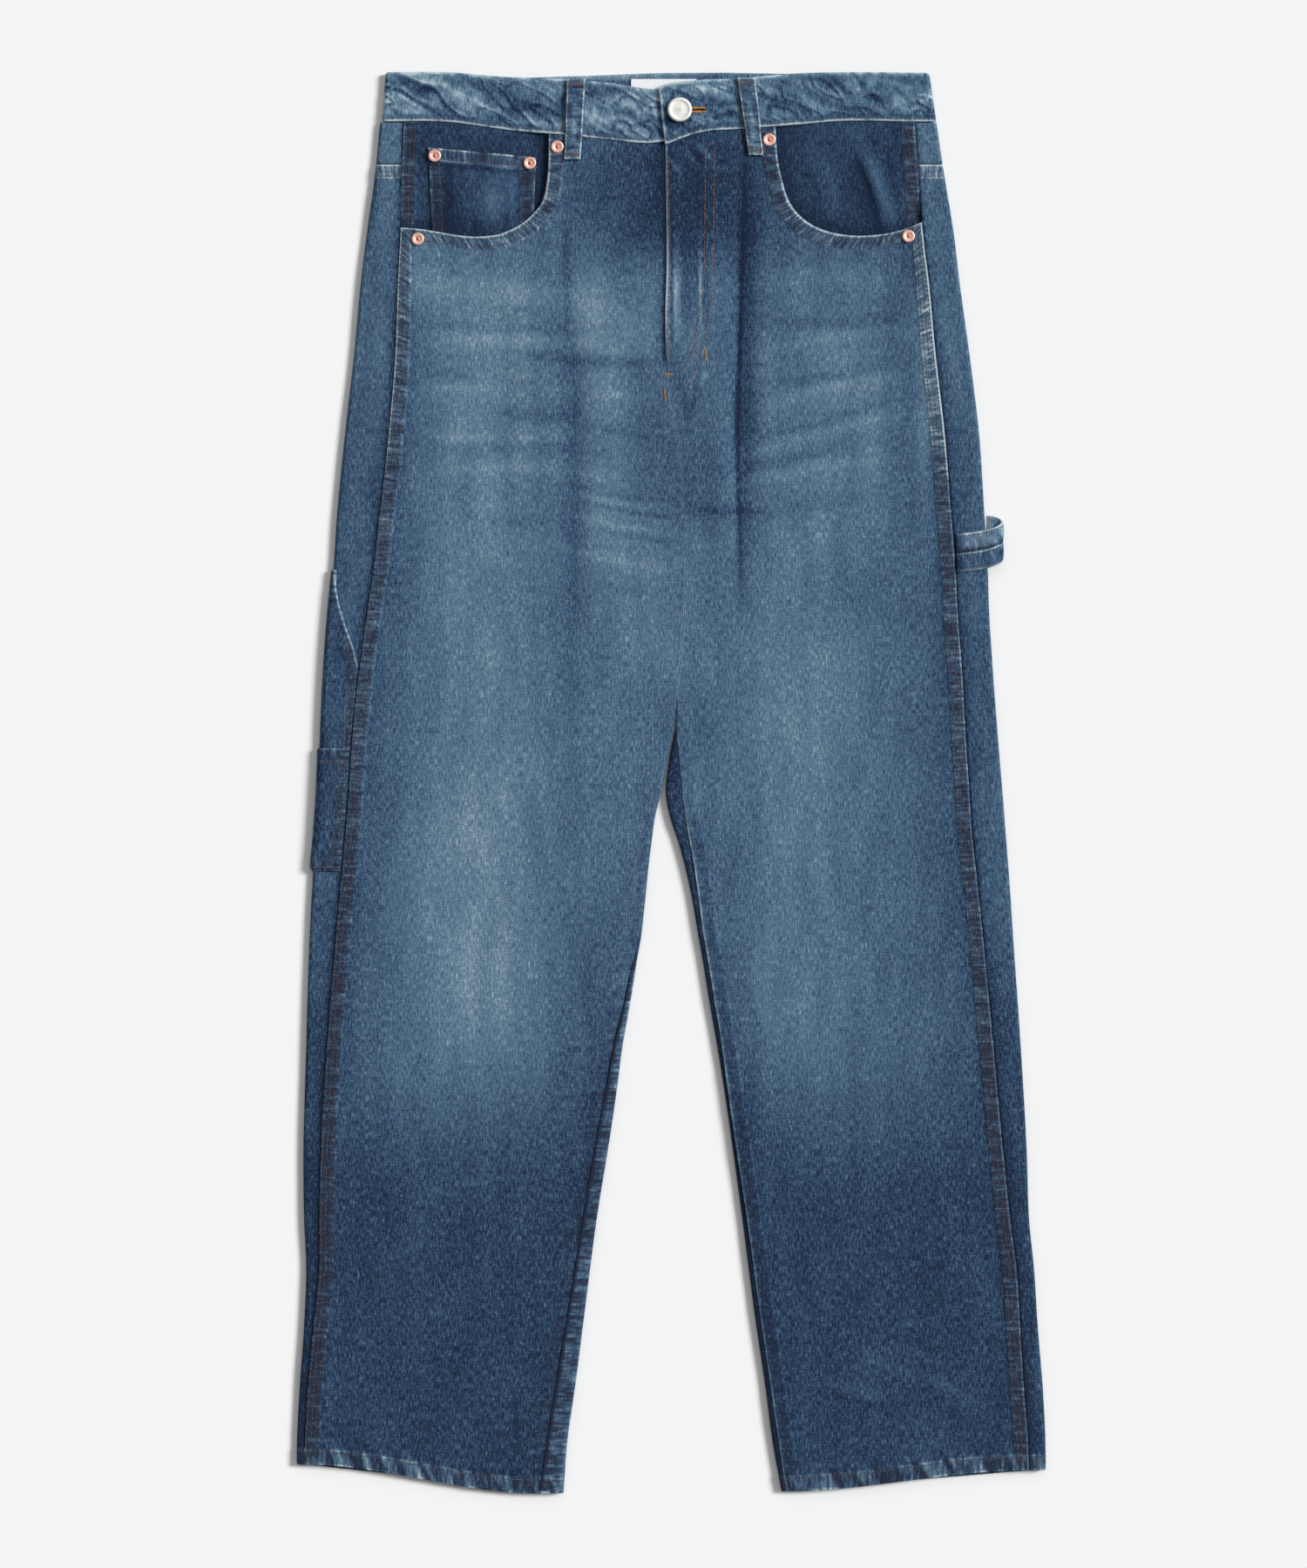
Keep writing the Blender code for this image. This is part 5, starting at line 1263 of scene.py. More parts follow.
def facing(side, finish):
    """Pocket facing: straight rows from the side seam inwards, its seam band raised beside the mouth."""
    run = np.concatenate([EDGE_STEPS, np.full(FACING_COLUMNS, EDGE_STEPS[-1])])
    share = np.concatenate([np.zeros(len(EDGE_STEPS)), np.linspace(0, 1, FACING_COLUMNS + 1)[1:]])
    level = np.linspace(0, FACING_LAST_ROW, FACING_LINES)[:, None] * np.ones(len(run))
    seam_up = np.interp(level[:, :1], np.arange(FACING_LAST_ROW + 1), column(FACING_ROWS, "seam_up"))
    seam = edge(side, "seam", seam_up) - SEAM_GAP / 2
    out = seam - run - (seam - FACING_INNER[side] - EDGE_STEPS[-1]) * share
    x, up, top = facing_points(side, level, out)
    run = seam - out
    shown = mouth_distance(side, x, up)
    beside = smooth_step((shown - 4.0) / 8.0)
    raised = ridge(run) * beside * (level < 6.5)
    seam_lift, seam_wear = seam_dress(run, up, 90 + side, stitch_lines=FACING_STITCHES, pucker=0.15)
    slope = 0.3 * noise(x / 11.0 + up / 40.0, up / 22.0, 92 + side)
    slope = slope + 0.12 * noise(x / 5.0, up / 7.0, 94 + side)
    lift = raised + seam_lift * beside
    if side == LEFT:
        lift = lift + lines_relief(FACING_CREASES, x, up) * beside
    lift = lift + slope * beside * (1 - 0.8 * bump_at(run, 9.0))
    # Painted shadow of the front's pocket edge: darker where the facing lies low near the mouth.
    wear = 0.04 + 0.16 * slope + 0.9 * seam_wear * beside - 0.34 * within(shown, 2.0, 11.0)
    wear = wear + 0.3 * bump_at(run - 6.0, 7.0) * smooth_step((430.0 - up) / 22.0) * (shown > 0)
    # The left facing's creases get painted shade and highlights.
    if side == LEFT:
        wear = wear + lines_relief(PAINTED_FACING_SHADES, x, up)
    else:
        ripple = noise(x / 9.0 + up / 9.0, (up - x) / 30.0, 97)
        wear = wear - 0.05 + 0.16 * ripple * smooth_step((up - 440.0) / 10.0)
    point = np.stack([x, up, top - CLOTH / 2], axis=-1)
    normal = upright(point)
    outer = point + normal * (CLOTH / 2 + lift)[..., None]
    band = smooth_step((SEAM_BAND - run) / 1.0) * beside
    name = f"pocket_facing_{SIDE_NAMES[side]}"
    grain = np.stack([x, up], axis=-1)
    marks = {"wear": wear, "band": band, "seam_run": np.stack([up, run], axis=-1)}
    piece = dress(f"{name}_denim", outer, point, normal, CLOTH, grain, marks, finish)
    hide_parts(name)
    return piece, outer, normal


deep_denim = denim("deep_indigo_twill", 0.95)
facing_lines = []
for side in (RIGHT, LEFT):
    piece, outer, normal = facing(side, deep_denim)
    for distance in FACING_STITCHES:
        facing_lines.append(grid_line(outer, normal, np.linspace(3, 70, 90), edge_line(distance)))
sew("facing_thread", facing_lines, seam_thread)

# Coin pocket: a small patch of the same deep denim on the right facing, hemmed at its top,
# with a double row of stitches down each side. Its foot runs down behind the pocket mouth.
COIN_ROWS = (1.0, 8.0)
COIN_LINES, COIN_COLUMNS = 101, 93
COIN_OUTER = (173.0, 169.0)
COIN_INNER = (95.5, 99.5)
COIN_HEM = 0.5
COIN_BAND = 8.6
COIN_HEM_STITCHES = (1.8, 7.2)
COIN_STITCHES = (1.8, 7.4)


def coin_pocket(finish):
    """Coin pocket: places of the facing itself, moved out, with a raised hem along the top."""
    level = np.linspace(*COIN_ROWS, COIN_LINES)[:, None]
    down = level / FACING_LAST_ROW
    outer_x = COIN_OUTER[0] + (COIN_OUTER[1] - COIN_OUTER[0]) * down
    inner_x = COIN_INNER[0] + (COIN_INNER[1] - COIN_INNER[0]) * down
    out = outer_x + (inner_x - outer_x) * (0.5 - 0.5 * np.cos(np.linspace(0, 1, COIN_COLUMNS) * np.pi))
    x, up, top = facing_points(RIGHT, level * np.ones_like(out), out)
    from_top, from_outer, from_inner = up[:1] - up, outer_x - out, out - inner_x
    from_side = np.minimum(from_outer, from_inner)
    hem = smooth_step((COIN_BAND + 0.8 - from_top) / 0.8)
    band = (0.0, COIN_BAND)
    hem_lift, hem_wear = seam_dress(from_top, x, 101, band, COIN_HEM_STITCHES, 0.15)
    side_lift, side_wear = seam_dress(from_outer, up, 103, band, COIN_STITCHES, 0.12)
    inner_lift, inner_wear = seam_dress(from_inner, up, 105, band, COIN_STITCHES, 0.12)
    lift = COIN_HEM * hem + hem_lift + (side_lift + inner_lift) * (1 - hem)
    lift = lift + 0.3 * noise(x / 13.0, up / 30.0, 106) * smooth_step(from_side / 12.0)
    middle = bump_at(x + 128.0, 22.0) * bump_at(up - 412.0, 30.0)
    streak = noise(x / 4.5, up / 26.0, 107) + 0.6 * noise(x / 11.0, up / 18.0, 108)
    wear = 0.04 + 0.26 * middle + 0.17 * streak + hem_wear + side_wear + inner_wear
    # Painted shadow near the pocket mouth, under the front's edge.
    wear = wear - 0.36 * bump_at(mouth_distance(RIGHT, x, up), 12.0)
    wear = wear - 0.2 * bump_at(x + 158.0, 9.0) * (1 - hem)
    wear = wear + 0.4 * bump_at(from_top - COIN_BAND - 0.3, 1.1) - 0.25 * bump_at(from_top - 11.0, 2.0)
    wear = wear + 0.14 * bump_at(x + 106.0, 9.0) + 0.12 * hem
    point = np.stack([x, up, top + SEAM_GAP + CLOTH / 2], axis=-1)
    normal = upright(point)
    border = np.minimum(from_side, from_top)
    outer = point + normal * (CLOTH / 2 * edge_round(border) + lift)[..., None]
    sides = smooth_step((9.5 - from_side) / 1.0)
    grain = np.stack([x, up], axis=-1)
    seam_run = np.where(hem[..., None] > 0.5, grain, grain[..., ::-1])
    marks = {"wear": wear, "band": np.maximum(hem, 0.7 * sides), "seam_run": seam_run}
    piece = dress("coin_pocket_denim", outer, point, normal, CLOTH, grain, marks, finish)
    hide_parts("coin_pocket")
    return piece, outer, normal, from_top, from_outer, from_inner


piece, outer, normal, from_top, from_outer, from_inner = coin_pocket(deep_denim)
coin_lines = []
coin_rows = np.arange(1, 84)
for distance in COIN_STITCHES:
    coin_lines.append(grid_line(outer, normal, coin_rows, level_line(from_outer[coin_rows], distance)))
    rising = level_line(from_inner[coin_rows, ::-1], distance)
    coin_lines.append(grid_line(outer, normal, coin_rows, outer.shape[1] - 1 - rising))
coin_columns = np.arange(3, outer.shape[1] - 3)
for distance in COIN_HEM_STITCHES:
    hem_rows = level_line(from_top[:, coin_columns].T, distance)
    coin_lines.append(grid_line(outer, normal, hem_rows, coin_columns))
sew("coin_pocket_thread", coin_lines, seam_thread)

# Waistband: one strip of denim folded double, from under the button round both hips to the lapped
# end, cut with a keyhole buttonhole. Washing has puckered it all over on the slant.
BAND_CLOTH = 2.4
BAND_HEIGHT = 6.6
BAND_RADIUS = (BAND_HEIGHT - BAND_CLOTH) / 2
BAND_STEP = BAND_CLOTH + SEAM_GAP
UNDERLAP_END = 16.0
BAND_BACK = (
    ("x", "low", "top"),
    (-207.0, 470.0, 504.8),
    (-120.0, 470.0, 501.6),
    (-81.0, 470.0, 501.8),
    (-60.0, 470.0, 503.0),
    (-31.0, 470.0, 504.4),
    (0.0, 470.0, 505.0),
    (49.0, 470.0, 505.0),
    (73.0, 470.0, 504.5),
    (189.0, 470.0, 504.3),
)
BAND_EDGES = {RIGHT: (205.5, 203.0), LEFT: (188.5, 183.5)}
LAP_END = (-4.5, -9.0)
LAP_SLOPE = (20.0, 45.0)
BAND_STITCH = 2.2
BUTTON_PLACE = (6.0, 478.0)
BUTTONHOLE_END = 24.0
BUTTONHOLE_RADIUS = 2.5
BUTTONHOLE_SLIT = 0.6
LAP_STEPS = 1 - np.array([8.6, 7.5, 6.4, 5.3, 4.3, 3.4, 2.6, 1.9, 1.25, 0.7, 0.25, 0.0]) / 9.6
# Stations round the band: under end to right fold, each fold, back, left fold to slit, and slit.
RIGHT_STATIONS, FOLD_STATIONS, BACK_STATIONS, LEFT_STATIONS, SLIT_STATIONS = 181, 11, 33, 133, 20
LEFT_START = RIGHT_STATIONS + 2 * FOLD_STATIONS + BACK_STATIONS
SLIT_START = LEFT_START + LEFT_STATIONS - 1
KEYHOLE = (SLIT_START, SLIT_START + SLIT_STATIONS, 12, 16)
BAND_ROWS = 33


def band_grid():
    """Middle of the band: stations from the under end to the lapped end, rows from low to top."""
    even = np.linspace(0, 1, BAND_ROWS)
    share = even - 0.105 * np.sin(2 * np.pi * even)
    centre = BAND_CLOTH / 2 + BAND_RADIUS
    right_flat, left_flat = (
        side * (BAND_EDGES[side][0] + (BAND_EDGES[side][1] - BAND_EDGES[side][0]) * share
                - BAND_RADIUS - BAND_CLOTH / 2) for side in (RIGHT, LEFT))
    lap_end = LAP_END[0] + (LAP_END[1] - LAP_END[0]) * share

    def run(start, end, steps):
        return start + (end - start) * steps[:, None]

    turn = np.radians(np.linspace(0, 180, FOLD_STATIONS + 2))[1:-1, None] * np.ones(BAND_ROWS)
    eye_end = BUTTON_PLACE[0] - BUTTONHOLE_RADIUS
    x = np.concatenate([
        run(UNDERLAP_END, right_flat, np.linspace(0, 1, RIGHT_STATIONS)),
        right_flat - BAND_RADIUS * np.sin(turn),
        run(right_flat, left_flat, np.linspace(0, 1, BACK_STATIONS)),
        left_flat + BAND_RADIUS * np.sin(turn),
        run(left_flat, BUTTONHOLE_END, np.linspace(0, 1, LEFT_STATIONS)),
        run(BUTTONHOLE_END, eye_end * np.ones(BAND_ROWS), np.linspace(0, 1, SLIT_STATIONS + 1)[1:]),
        run(eye_end, lap_end, LAP_STEPS),
    ])
    number = np.arange(len(x))
    angle = np.concatenate([
        np.zeros((RIGHT_STATIONS, BAND_ROWS)), -turn, np.full((BACK_STATIONS, BAND_ROWS), -np.pi),
        -turn[::-1], np.zeros((len(x) - LEFT_START, BAND_ROWS)),
    ])
    turned = -angle / np.pi
    lean, rise = np.sin(angle), np.cos(angle)
    on_left = number >= LEFT_START - FOLD_STATIONS
    lean[on_left] = -lean[on_left]
    low, top = np.empty_like(x), np.empty_like(x)
    for side, rows in ((RIGHT, ~on_left), (LEFT, on_left)):
        place, back = x[rows], turned[rows]
        for border, name in ((low, "low"), (top, "top")):
            border[rows] = (curve(WAIST_LINE[side], "x", name, place) * (1 - back)
                            + curve(BAND_BACK, "x", name, place) * back)
    lapped = (number >= LEFT_START)[:, None]
    step_up = BAND_STEP * smooth_step((LAP_SLOPE[1] - x) / (LAP_SLOPE[1] - LAP_SLOPE[0])) * lapped
    up = low + (top - low) * share
    first_row, last_row, first_column, last_column = KEYHOLE
    across = x[:, 0] - BUTTON_PLACE[0]
    half = np.maximum(np.sqrt(np.clip(BUTTONHOLE_RADIUS ** 2 - across ** 2, 0, None)), BUTTONHOLE_SLIT)
    near = smooth_step((number - first_row + 10) / 10.0) * smooth_step((last_row + 8 - number) / 8.0)
    low_shift = (BUTTON_PLACE[1] - half - up[:, first_column]) * near
    top_shift = (BUTTON_PLACE[1] + half - up[:, last_column]) * near
    spread = (4, first_column, last_column, 28)
    low_share, top_share = (
        np.interp(np.arange(BAND_ROWS), spread, values) for values in ((0, 1, 0, 0), (0, 0, 1, 0)))
    up = up + low_shift[:, None] * low_share + top_shift[:, None] * top_share
    point = np.stack([x, up, centre + BAND_RADIUS * rise + step_up], axis=-1)
    normal = np.stack([lean, np.zeros_like(x), rise], axis=-1)
    return point, normal, up - low, top - up, turned


def waistband(finish):
    """Waistband: the folded strip with slanted wash puckers, worn edges and one row of stitches."""
    point, normal, from_low, from_top, turned = band_grid()
    x, up = point[..., 0], point[..., 1]
    number = np.arange(len(x))[:, None]
    front = np.clip(normal[..., 2], 0, 1)
    along = np.where(turned > 0.5, 600.0 + x, x)
    down_run = 0.88 * along - 0.47 * up + 6.0 * noise(along / 21.0, up / 25.0, 109)
    cross_run = 0.47 * along + 0.88 * up + 3.0 * noise(along / 15.0, up / 12.0, 110)
    puckers = (0.5 * noise(cross_run / 6.4, down_run / 20.0, 111)
               + 0.45 * noise(cross_run / 3.2, down_run / 9.0, 112)
               + 0.3 * noise(along / 2.6, up / 3.4, 113))
    valleys = bump_at(noise(cross_run / 6.0, down_run / 17.0, 116), 0.13)
    crests = bump_at(noise(cross_run / 6.0 - 0.3, down_run / 17.0, 116), 0.15)
    puckers = puckers - 1.1 * valleys + 0.6 * crests
    away = smooth_step((np.minimum(from_low, from_top) - 2.2) / 5.0)
    lift = (0.42 * puckers - 0.25) * away * front
    rope = noise(along / 5.0, up / 20.0, 114)
    wear = 0.6 - 0.0005 * x + 0.62 * puckers * (0.3 + 0.7 * away)
    wear = wear + 0.22 * noise(along / 22.0, up / 12.0, 115)
    wear = wear + (0.8 + 0.4 * rope) * bump_at(from_low - 0.4, 1.0)
    wear = wear + (0.5 + 0.3 * rope) * bump_at(from_top - 0.5, 1.6)
    wear = wear - 0.3 * bump_at(from_low - 3.8, 1.5)
    lap_distance = np.hypot(*(point - point[-1:])[..., :2].transpose(2, 0, 1))
    lap_distance = np.where(number >= LEFT_START, lap_distance, 100.0)
    wear = wear + 0.9 * bump_at(lap_distance, 1.3) - 0.14 * bump_at(lap_distance - 4.0, 3.0)
    button_ring = np.hypot(x - BUTTON_PLACE[0], up - BUTTON_PLACE[1])
    # Painted shade in a ring just round the button's rim.
    wear = wear - 0.3 * bump_at(button_ring - 9.5, 2.6) * (lap_distance < 99)
    lift = lift - 0.16 * bump_at(from_low - BAND_STITCH, 0.7) * front
    end_near = np.minimum(lap_distance, np.where(number < RIGHT_STATIONS, UNDERLAP_END - x, 100.0))
    border = np.minimum(np.minimum(from_low, from_top), end_near)
    lift = lift * smooth_step(end_near / 3.0)
    lift = np.where((number < RIGHT_STATIONS) & (x > -16.0), np.minimum(lift, 0.0), lift)
    outer = point + normal * (BAND_CLOTH / 2 - 0.75 * (1 - edge_round(border)) + lift)[..., None]
    grain = np.stack([along, up], axis=-1)
    marks = {"wear": wear, "band": 0.6 * bump_at(from_low - 1.0, 2.0)}
    piece = dress("waistband_denim", outer, point, normal, BAND_CLOTH, grain, marks, finish, KEYHOLE)
    return outer, piece, normal


band_outer, band, band_normal = waistband(leg_denim)
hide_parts("waistband")


def rods(name, start, end, finish, radius):
    """Lone flat rods from start to end, such as the bars of a bartack, as one mesh.

    The pitch is far longer than a rod, so each line gets a single one.
    """
    start, end = np.array(start), np.array(end)
    lines = [(np.stack(pair), upright(np.stack(pair))) for pair in zip(start, end)]
    lengths = np.linalg.norm(end - start, axis=1)
    return sew(name, lines, finish, length=float(lengths.min()) * 0.98, pitch=1000.0, radius=radius)


orange_thread = spun_thread("orange_thread", colour(130, 92, 56), colour(196, 140, 86))
band_lines = []
low_rows = level_line(band_outer[..., 1] - band_outer[:, :1, 1], BAND_STITCH)
for first, last in ((26, RIGHT_STATIONS), (LEFT_START, band_outer.shape[0] - 3)):
    stations = np.arange(first, last)
    band_lines.append(grid_line(band_outer, band_normal, stations, low_rows[stations]))
sew("waistband_thread", band_lines, seam_thread)
slit_x = np.arange(BUTTON_PLACE[0] + 3.2, BUTTONHOLE_END + 0.6, 0.62)
slit_z = BAND_HEIGHT + BAND_STEP + 0.1
slit_start, slit_end = [], []
for sign in (-1, 1):
    slit_up = BUTTON_PLACE[1] + sign * 0.5
    slit_start += [(x, slit_up, slit_z) for x in slit_x]
    slit_end += [(x, slit_up + sign * 1.8, slit_z) for x in slit_x]
rods("buttonhole_thread", slit_start, slit_end, orange_thread, 0.34)

# Label: a bare white woven tab sewn inside the back of the waistband, showing above the front.
LABEL_LOW, LABEL_HIGH = (-28.5, 472.0), (18.0, 500.5)
LABEL_CLOTH = 1.0
tab = Finish("white_tab")
tab_place = tab.node("ShaderNodeUVMap", {"uv_map": "grain"})
tab_bump = tab.bump(tab.speckle(tab_place, 2600.0, 1.0), 0.4, 0.0002)
tab_cloth = tab.set(Base_Color=(*colour(236, 236, 238), 1.0), Roughness=0.7, Normal=tab_bump)
tab_x, tab_up = np.meshgrid(*(
    np.linspace(low, high, count) for low, high, count in zip(LABEL_LOW, LABEL_HIGH, (49, 29))))
tab_wave = 0.12 * noise(tab_x / 9.0, tab_up / 14.0, 121) - 0.1
tab_z = BAND_CLOTH + SEAM_GAP + LABEL_CLOTH / 2
tab_point = np.stack([tab_x, tab_up, np.full(tab_x.shape, tab_z)], axis=-1)
tab_normal = upright(tab_point)
tab_outer = tab_point + tab_normal * (LABEL_CLOTH / 2 + tab_wave)[..., None]
piece = dress("label_tab", tab_outer, tab_point, tab_normal, LABEL_CLOTH, tab_point[..., :2], {}, tab_cloth)
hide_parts("label")

# Belt loops: narrow felled strips over the waistband, turned under and bartacked at both ends.
LOOP_CLOTH = 1.5
LOOP_END_RIDGE = 0.7
BELT_LOOPS = {
    RIGHT: (
        ("up", "x", "half_width", "under"),
        (443.0, -70.2, 5.8, 6.5),
        (449.0, -69.9, 5.8, 6.9),
        (455.0, -69.5, 5.9, 7.4),
        (466.0, -69.0, 6.0, 7.9),
        (480.0, -68.4, 6.2, 8.0),
        (491.0, -67.9, 6.4, 7.6),
        (496.0, -67.7, 6.5, 7.1),
        (500.0, -67.5, 6.5, 6.9),
    ),
    LEFT: (
        ("up", "x", "half_width", "under"),
        (446.0, 60.3, 5.0, 6.5),
        (452.0, 59.6, 5.2, 6.9),
        (458.0, 58.6, 5.3, 7.4),
        (468.0, 57.6, 5.7, 7.9),
        (481.0, 55.9, 6.0, 8.0),
        (492.0, 54.4, 6.2, 7.6),
        (497.0, 53.7, 6.2, 7.1),
        (501.0, 53.3, 6.2, 6.9),
    ),
}
LOOP_ROWS, LOOP_COLUMNS = 121, 25
LOOP_STITCH_COLUMNS = (5.3, 18.7)
LOOP_TACK_ROWS = (8.0, 112.0)
BARTACK_PITCH = 0.5


def belt_loop(side, finish):
    """Belt loop: a strip along its own middle line, with a raised turned end and soft felled edges."""
    table = BELT_LOOPS[side]
    keys = column(table, "up")
    up = np.linspace(keys[0], keys[-1], LOOP_ROWS)[:, None]
    middle, half, under = (curve(table, "up", name, up) for name in ("x", "half_width", "under"))
    across = np.sin(np.linspace(-0.5, 0.5, LOOP_COLUMNS) * np.pi)
    x = middle + half * across
    from_edge = half * (1 - np.abs(across))
    from_end = np.minimum(up - keys[0], keys[-1] - up) * np.ones_like(x)
    raised = LOOP_END_RIDGE * smooth_step((7.0 - from_end) / 3.0)
    pucker = noise(up / 3.4 + across * 0.8, across * 1.3, 130 + side)
    lift = raised + 0.14 * pucker - 0.12 * bump_at(across, 0.35) - 0.14 * bump_at(from_edge - 1.5, 0.5)
    wear = 0.44 + 0.34 * pucker + 0.7 * bump_at(from_edge - 0.4, 0.9) + 0.5 * bump_at(from_end - 0.4, 0.9)
    wear = wear + 0.3 * bump_at(across, 0.3) * smooth_step((from_end - 8.0) / 5.0)
    border = np.minimum(from_edge, from_end)
    point = np.stack([x, up * np.ones_like(x), under + LOOP_CLOTH / 2 + np.zeros_like(x)], axis=-1)
    normal = upright(point)
    outer = point + normal * (LOOP_CLOTH / 2 - 0.5 * (1 - edge_round(border)) + lift)[..., None]
    name = f"belt_loop_{SIDE_NAMES[side]}"
    grain = np.stack([x, point[..., 1]], axis=-1)
    marks = {"wear": wear, "band": 0.5, "seam_run": grain[..., ::-1]}
    piece = dress(f"{name}_denim", outer, point, normal, LOOP_CLOTH, grain, marks, finish)
    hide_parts(name)
    return piece, outer, normal


loop_lines, tack_start, tack_end = [], [], []
for side in (RIGHT, LEFT):
    piece, outer, normal = belt_loop(side, leg_denim)
    for place in LOOP_STITCH_COLUMNS:
        loop_lines.append(grid_line(outer, normal, np.arange(2, LOOP_ROWS - 3), place))
    for row in LOOP_TACK_ROWS:
        for place in np.linspace(4.0, 20.0, 16):
            low, high = (sample(outer, np.array([row + step]), np.array([place])) for step in (-3.0, 3.0))
            tack_start.append(low[0])
            tack_end.append(high[0])
sew("belt_loop_thread", loop_lines, seam_thread)
bartack_thread = spun_thread("faded_brown_thread", colour(84, 70, 70), colour(136, 112, 102))
rods("belt_loop_bartacks", tack_start, tack_end, bartack_thread, 0.22)

# Tool pockets: two patches, one on the other, that wrap part of the way round the right leg's outer
# fold below the hip. The large one's mouth is cut on a curve and the small one's straight.
TOOL_POCKET = (
    ("up", "inner_x"),
    (151.5, -238.0),
    (137.5, -238.0),
    (126.5, -236.0),
    (108.5, -230.5),
    (95.5, -225.5),
    (83.0, -222.6),
    (52.0, -225.5),
    (30.0, -228.1),
    (0.0, -230.1),
    (-32.0, -232.6),
    (-52.0, -234.2),
    (-63.0, -235.2),
)
TOOL_POCKET_SMALL = (
    ("up", "inner_x"),
    (24.5, -229.6),
    (10.0, -230.4),
    (0.0, -231.1),
    (-32.0, -233.6),
    (-50.0, -235.0),
    (-61.0, -235.8),
)
TOOL_POCKET_TURN = 124.0
SMALL_POCKET_TURN = 112.0
TOOL_STITCHES = (1.6, 4.6)
TOOL_HEM_STITCH = 8.6
PATCH_TOP_COLUMNS, PATCH_FOLD_COLUMNS = 24, 17


def outer_patch(name, table, turn, layer, rows, finish):
    """Patch on the right leg's own tube, moved out by its layer, from its edge on top round the fold."""
    keys = column(table, "up")
    share = np.linspace(0, 1, rows)
    share = share - 0.1 * np.sin(2 * np.pi * share)
    up = keys[0] + (keys[-1] - keys[0]) * share
    inner_x = np.interp(up, keys[::-1], column(table, "inner_x")[::-1])
    start = (-inner_x - edge(RIGHT, "edge", up) + EDGE_REACH)[:, None]
    step = np.linspace(0, 1, PATCH_TOP_COLUMNS + 1)[:-1]
    top_part = start * (1 - (step - 0.1 * np.sin(2 * np.pi * step)))
    fold = FOLD_RADIUS * np.radians(turn) * np.linspace(0, 1, PATCH_FOLD_COLUMNS) * np.ones_like(start)
    t = np.concatenate([top_part, fold], axis=1)
    height = up[:, None] * np.ones_like(t)
    point, normal = section(RIGHT, height, t)
    point = point + normal * (CLOTH + SEAM_GAP) * layer
    from_edge, from_top, from_low = t - start, keys[0] - height, height - keys[-1]
    flatness = np.clip(normal[..., 2], 0, 1)
    mouth_rim = 0.05 + smooth_step((height - 70.0) / 25.0) * (layer == 1)
    side_lift, side_wear = seam_dress(from_edge, height, 140 + layer, (0.0, 5.0), TOOL_STITCHES, 0.12,
                                      mouth_rim, 0.15)
    top_lift, top_wear = seam_dress(from_top, t, 142 + layer, (0.0, 9.0), (TOOL_HEM_STITCH,), 0.12, 0.5, 0.5)
    low_lift, low_wear = seam_dress(from_low, t, 144 + layer, (0.0, 6.0), (1.8,), 0.12, 0.3, 0.5)
    loose = 0.2 * noise(t / 7.0, height / 19.0, 146 + layer) - 0.1
    lift = (side_lift + top_lift + low_lift + loose) * flatness
    wear = 0.2 + 0.12 * noise(t / 5.0, height / 13.0, 148 + layer) + 0.9 * (side_wear + low_wear) + top_wear
    border = np.minimum(np.minimum(from_edge, from_top), from_low)
    outer = point + normal * (CLOTH / 2 * edge_round(border) + lift)[..., None]
    grain = np.stack([t, height], axis=-1)
    beside = smooth_step(5.5 - from_edge)
    band = np.maximum(beside, np.maximum(smooth_step(9.5 - from_top), smooth_step(6.5 - from_low)))
    seam_run = np.where(beside[..., None] > 0.5, grain[..., ::-1], grain)
    marks = {"wear": wear, "band": 0.8 * band * flatness, "seam_run": seam_run}
    piece = dress(f"{name}_denim", outer, point, normal, CLOTH, grain, marks, finish)
    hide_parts(name)
    return piece, outer, normal, from_edge, from_top


pocket_lines = []
piece, outer, normal, from_edge, _ = outer_patch(
    "tool_pocket", TOOL_POCKET, TOOL_POCKET_TURN, 1, 193, leg_denim)
rows = np.arange(60, 190)
for distance in TOOL_STITCHES:
    pocket_lines.append(grid_line(outer, normal, rows, level_line(from_edge[rows], distance)))
pocket_lines.append(grid_line(outer, normal, 188.0, np.arange(1, 32)))
piece, outer, normal, from_edge, from_top = outer_patch(
    "tool_pocket_small", TOOL_POCKET_SMALL, SMALL_POCKET_TURN, 2, 97, leg_denim)
rows = np.arange(3, 94)
for distance in TOOL_STITCHES:
    pocket_lines.append(grid_line(outer, normal, rows, level_line(from_edge[rows], distance)))
columns = np.arange(1, 32)
hem_rows = level_line(from_top[:, columns].T, TOOL_HEM_STITCH)
pocket_lines.append(grid_line(outer, normal, hem_rows, columns))
pocket_lines.append(grid_line(outer, normal, 92.5, columns))
sew("tool_pocket_thread", pocket_lines, seam_thread)

# Hammer loop: a doubled strap caught in the left side seam, that stands out past the leg and turns
# back under it. Two rows of stitches down its middle leave it in two soft rolls.
STRAP_CLOTH = 1.5
STRAP_WIDTH = 27.5
STRAP_RIDGE = 0.5
STRAP_STITCH = 1.8
STRAP_ROWS, STRAP_COLUMNS = 97, 65
HAMMER_PATH = (
    ("out", "height", "up"),
    (203.0, 7.1, 163.2),
    (209.0, 7.1, 163.8),
    (215.5, 7.3, 164.6),
    (221.5, 7.7, 165.6),
    (227.0, 7.9, 167.0),
    (231.5, 7.4, 168.8),
    (234.3, 6.1, 170.5),
    (235.2, 4.4, 172.0),
    (234.2, 2.6, 173.6),
    (231.6, 1.4, 175.0),
    (228.6, 1.0, 176.0),
    (226.0, 1.0, 176.6),
)


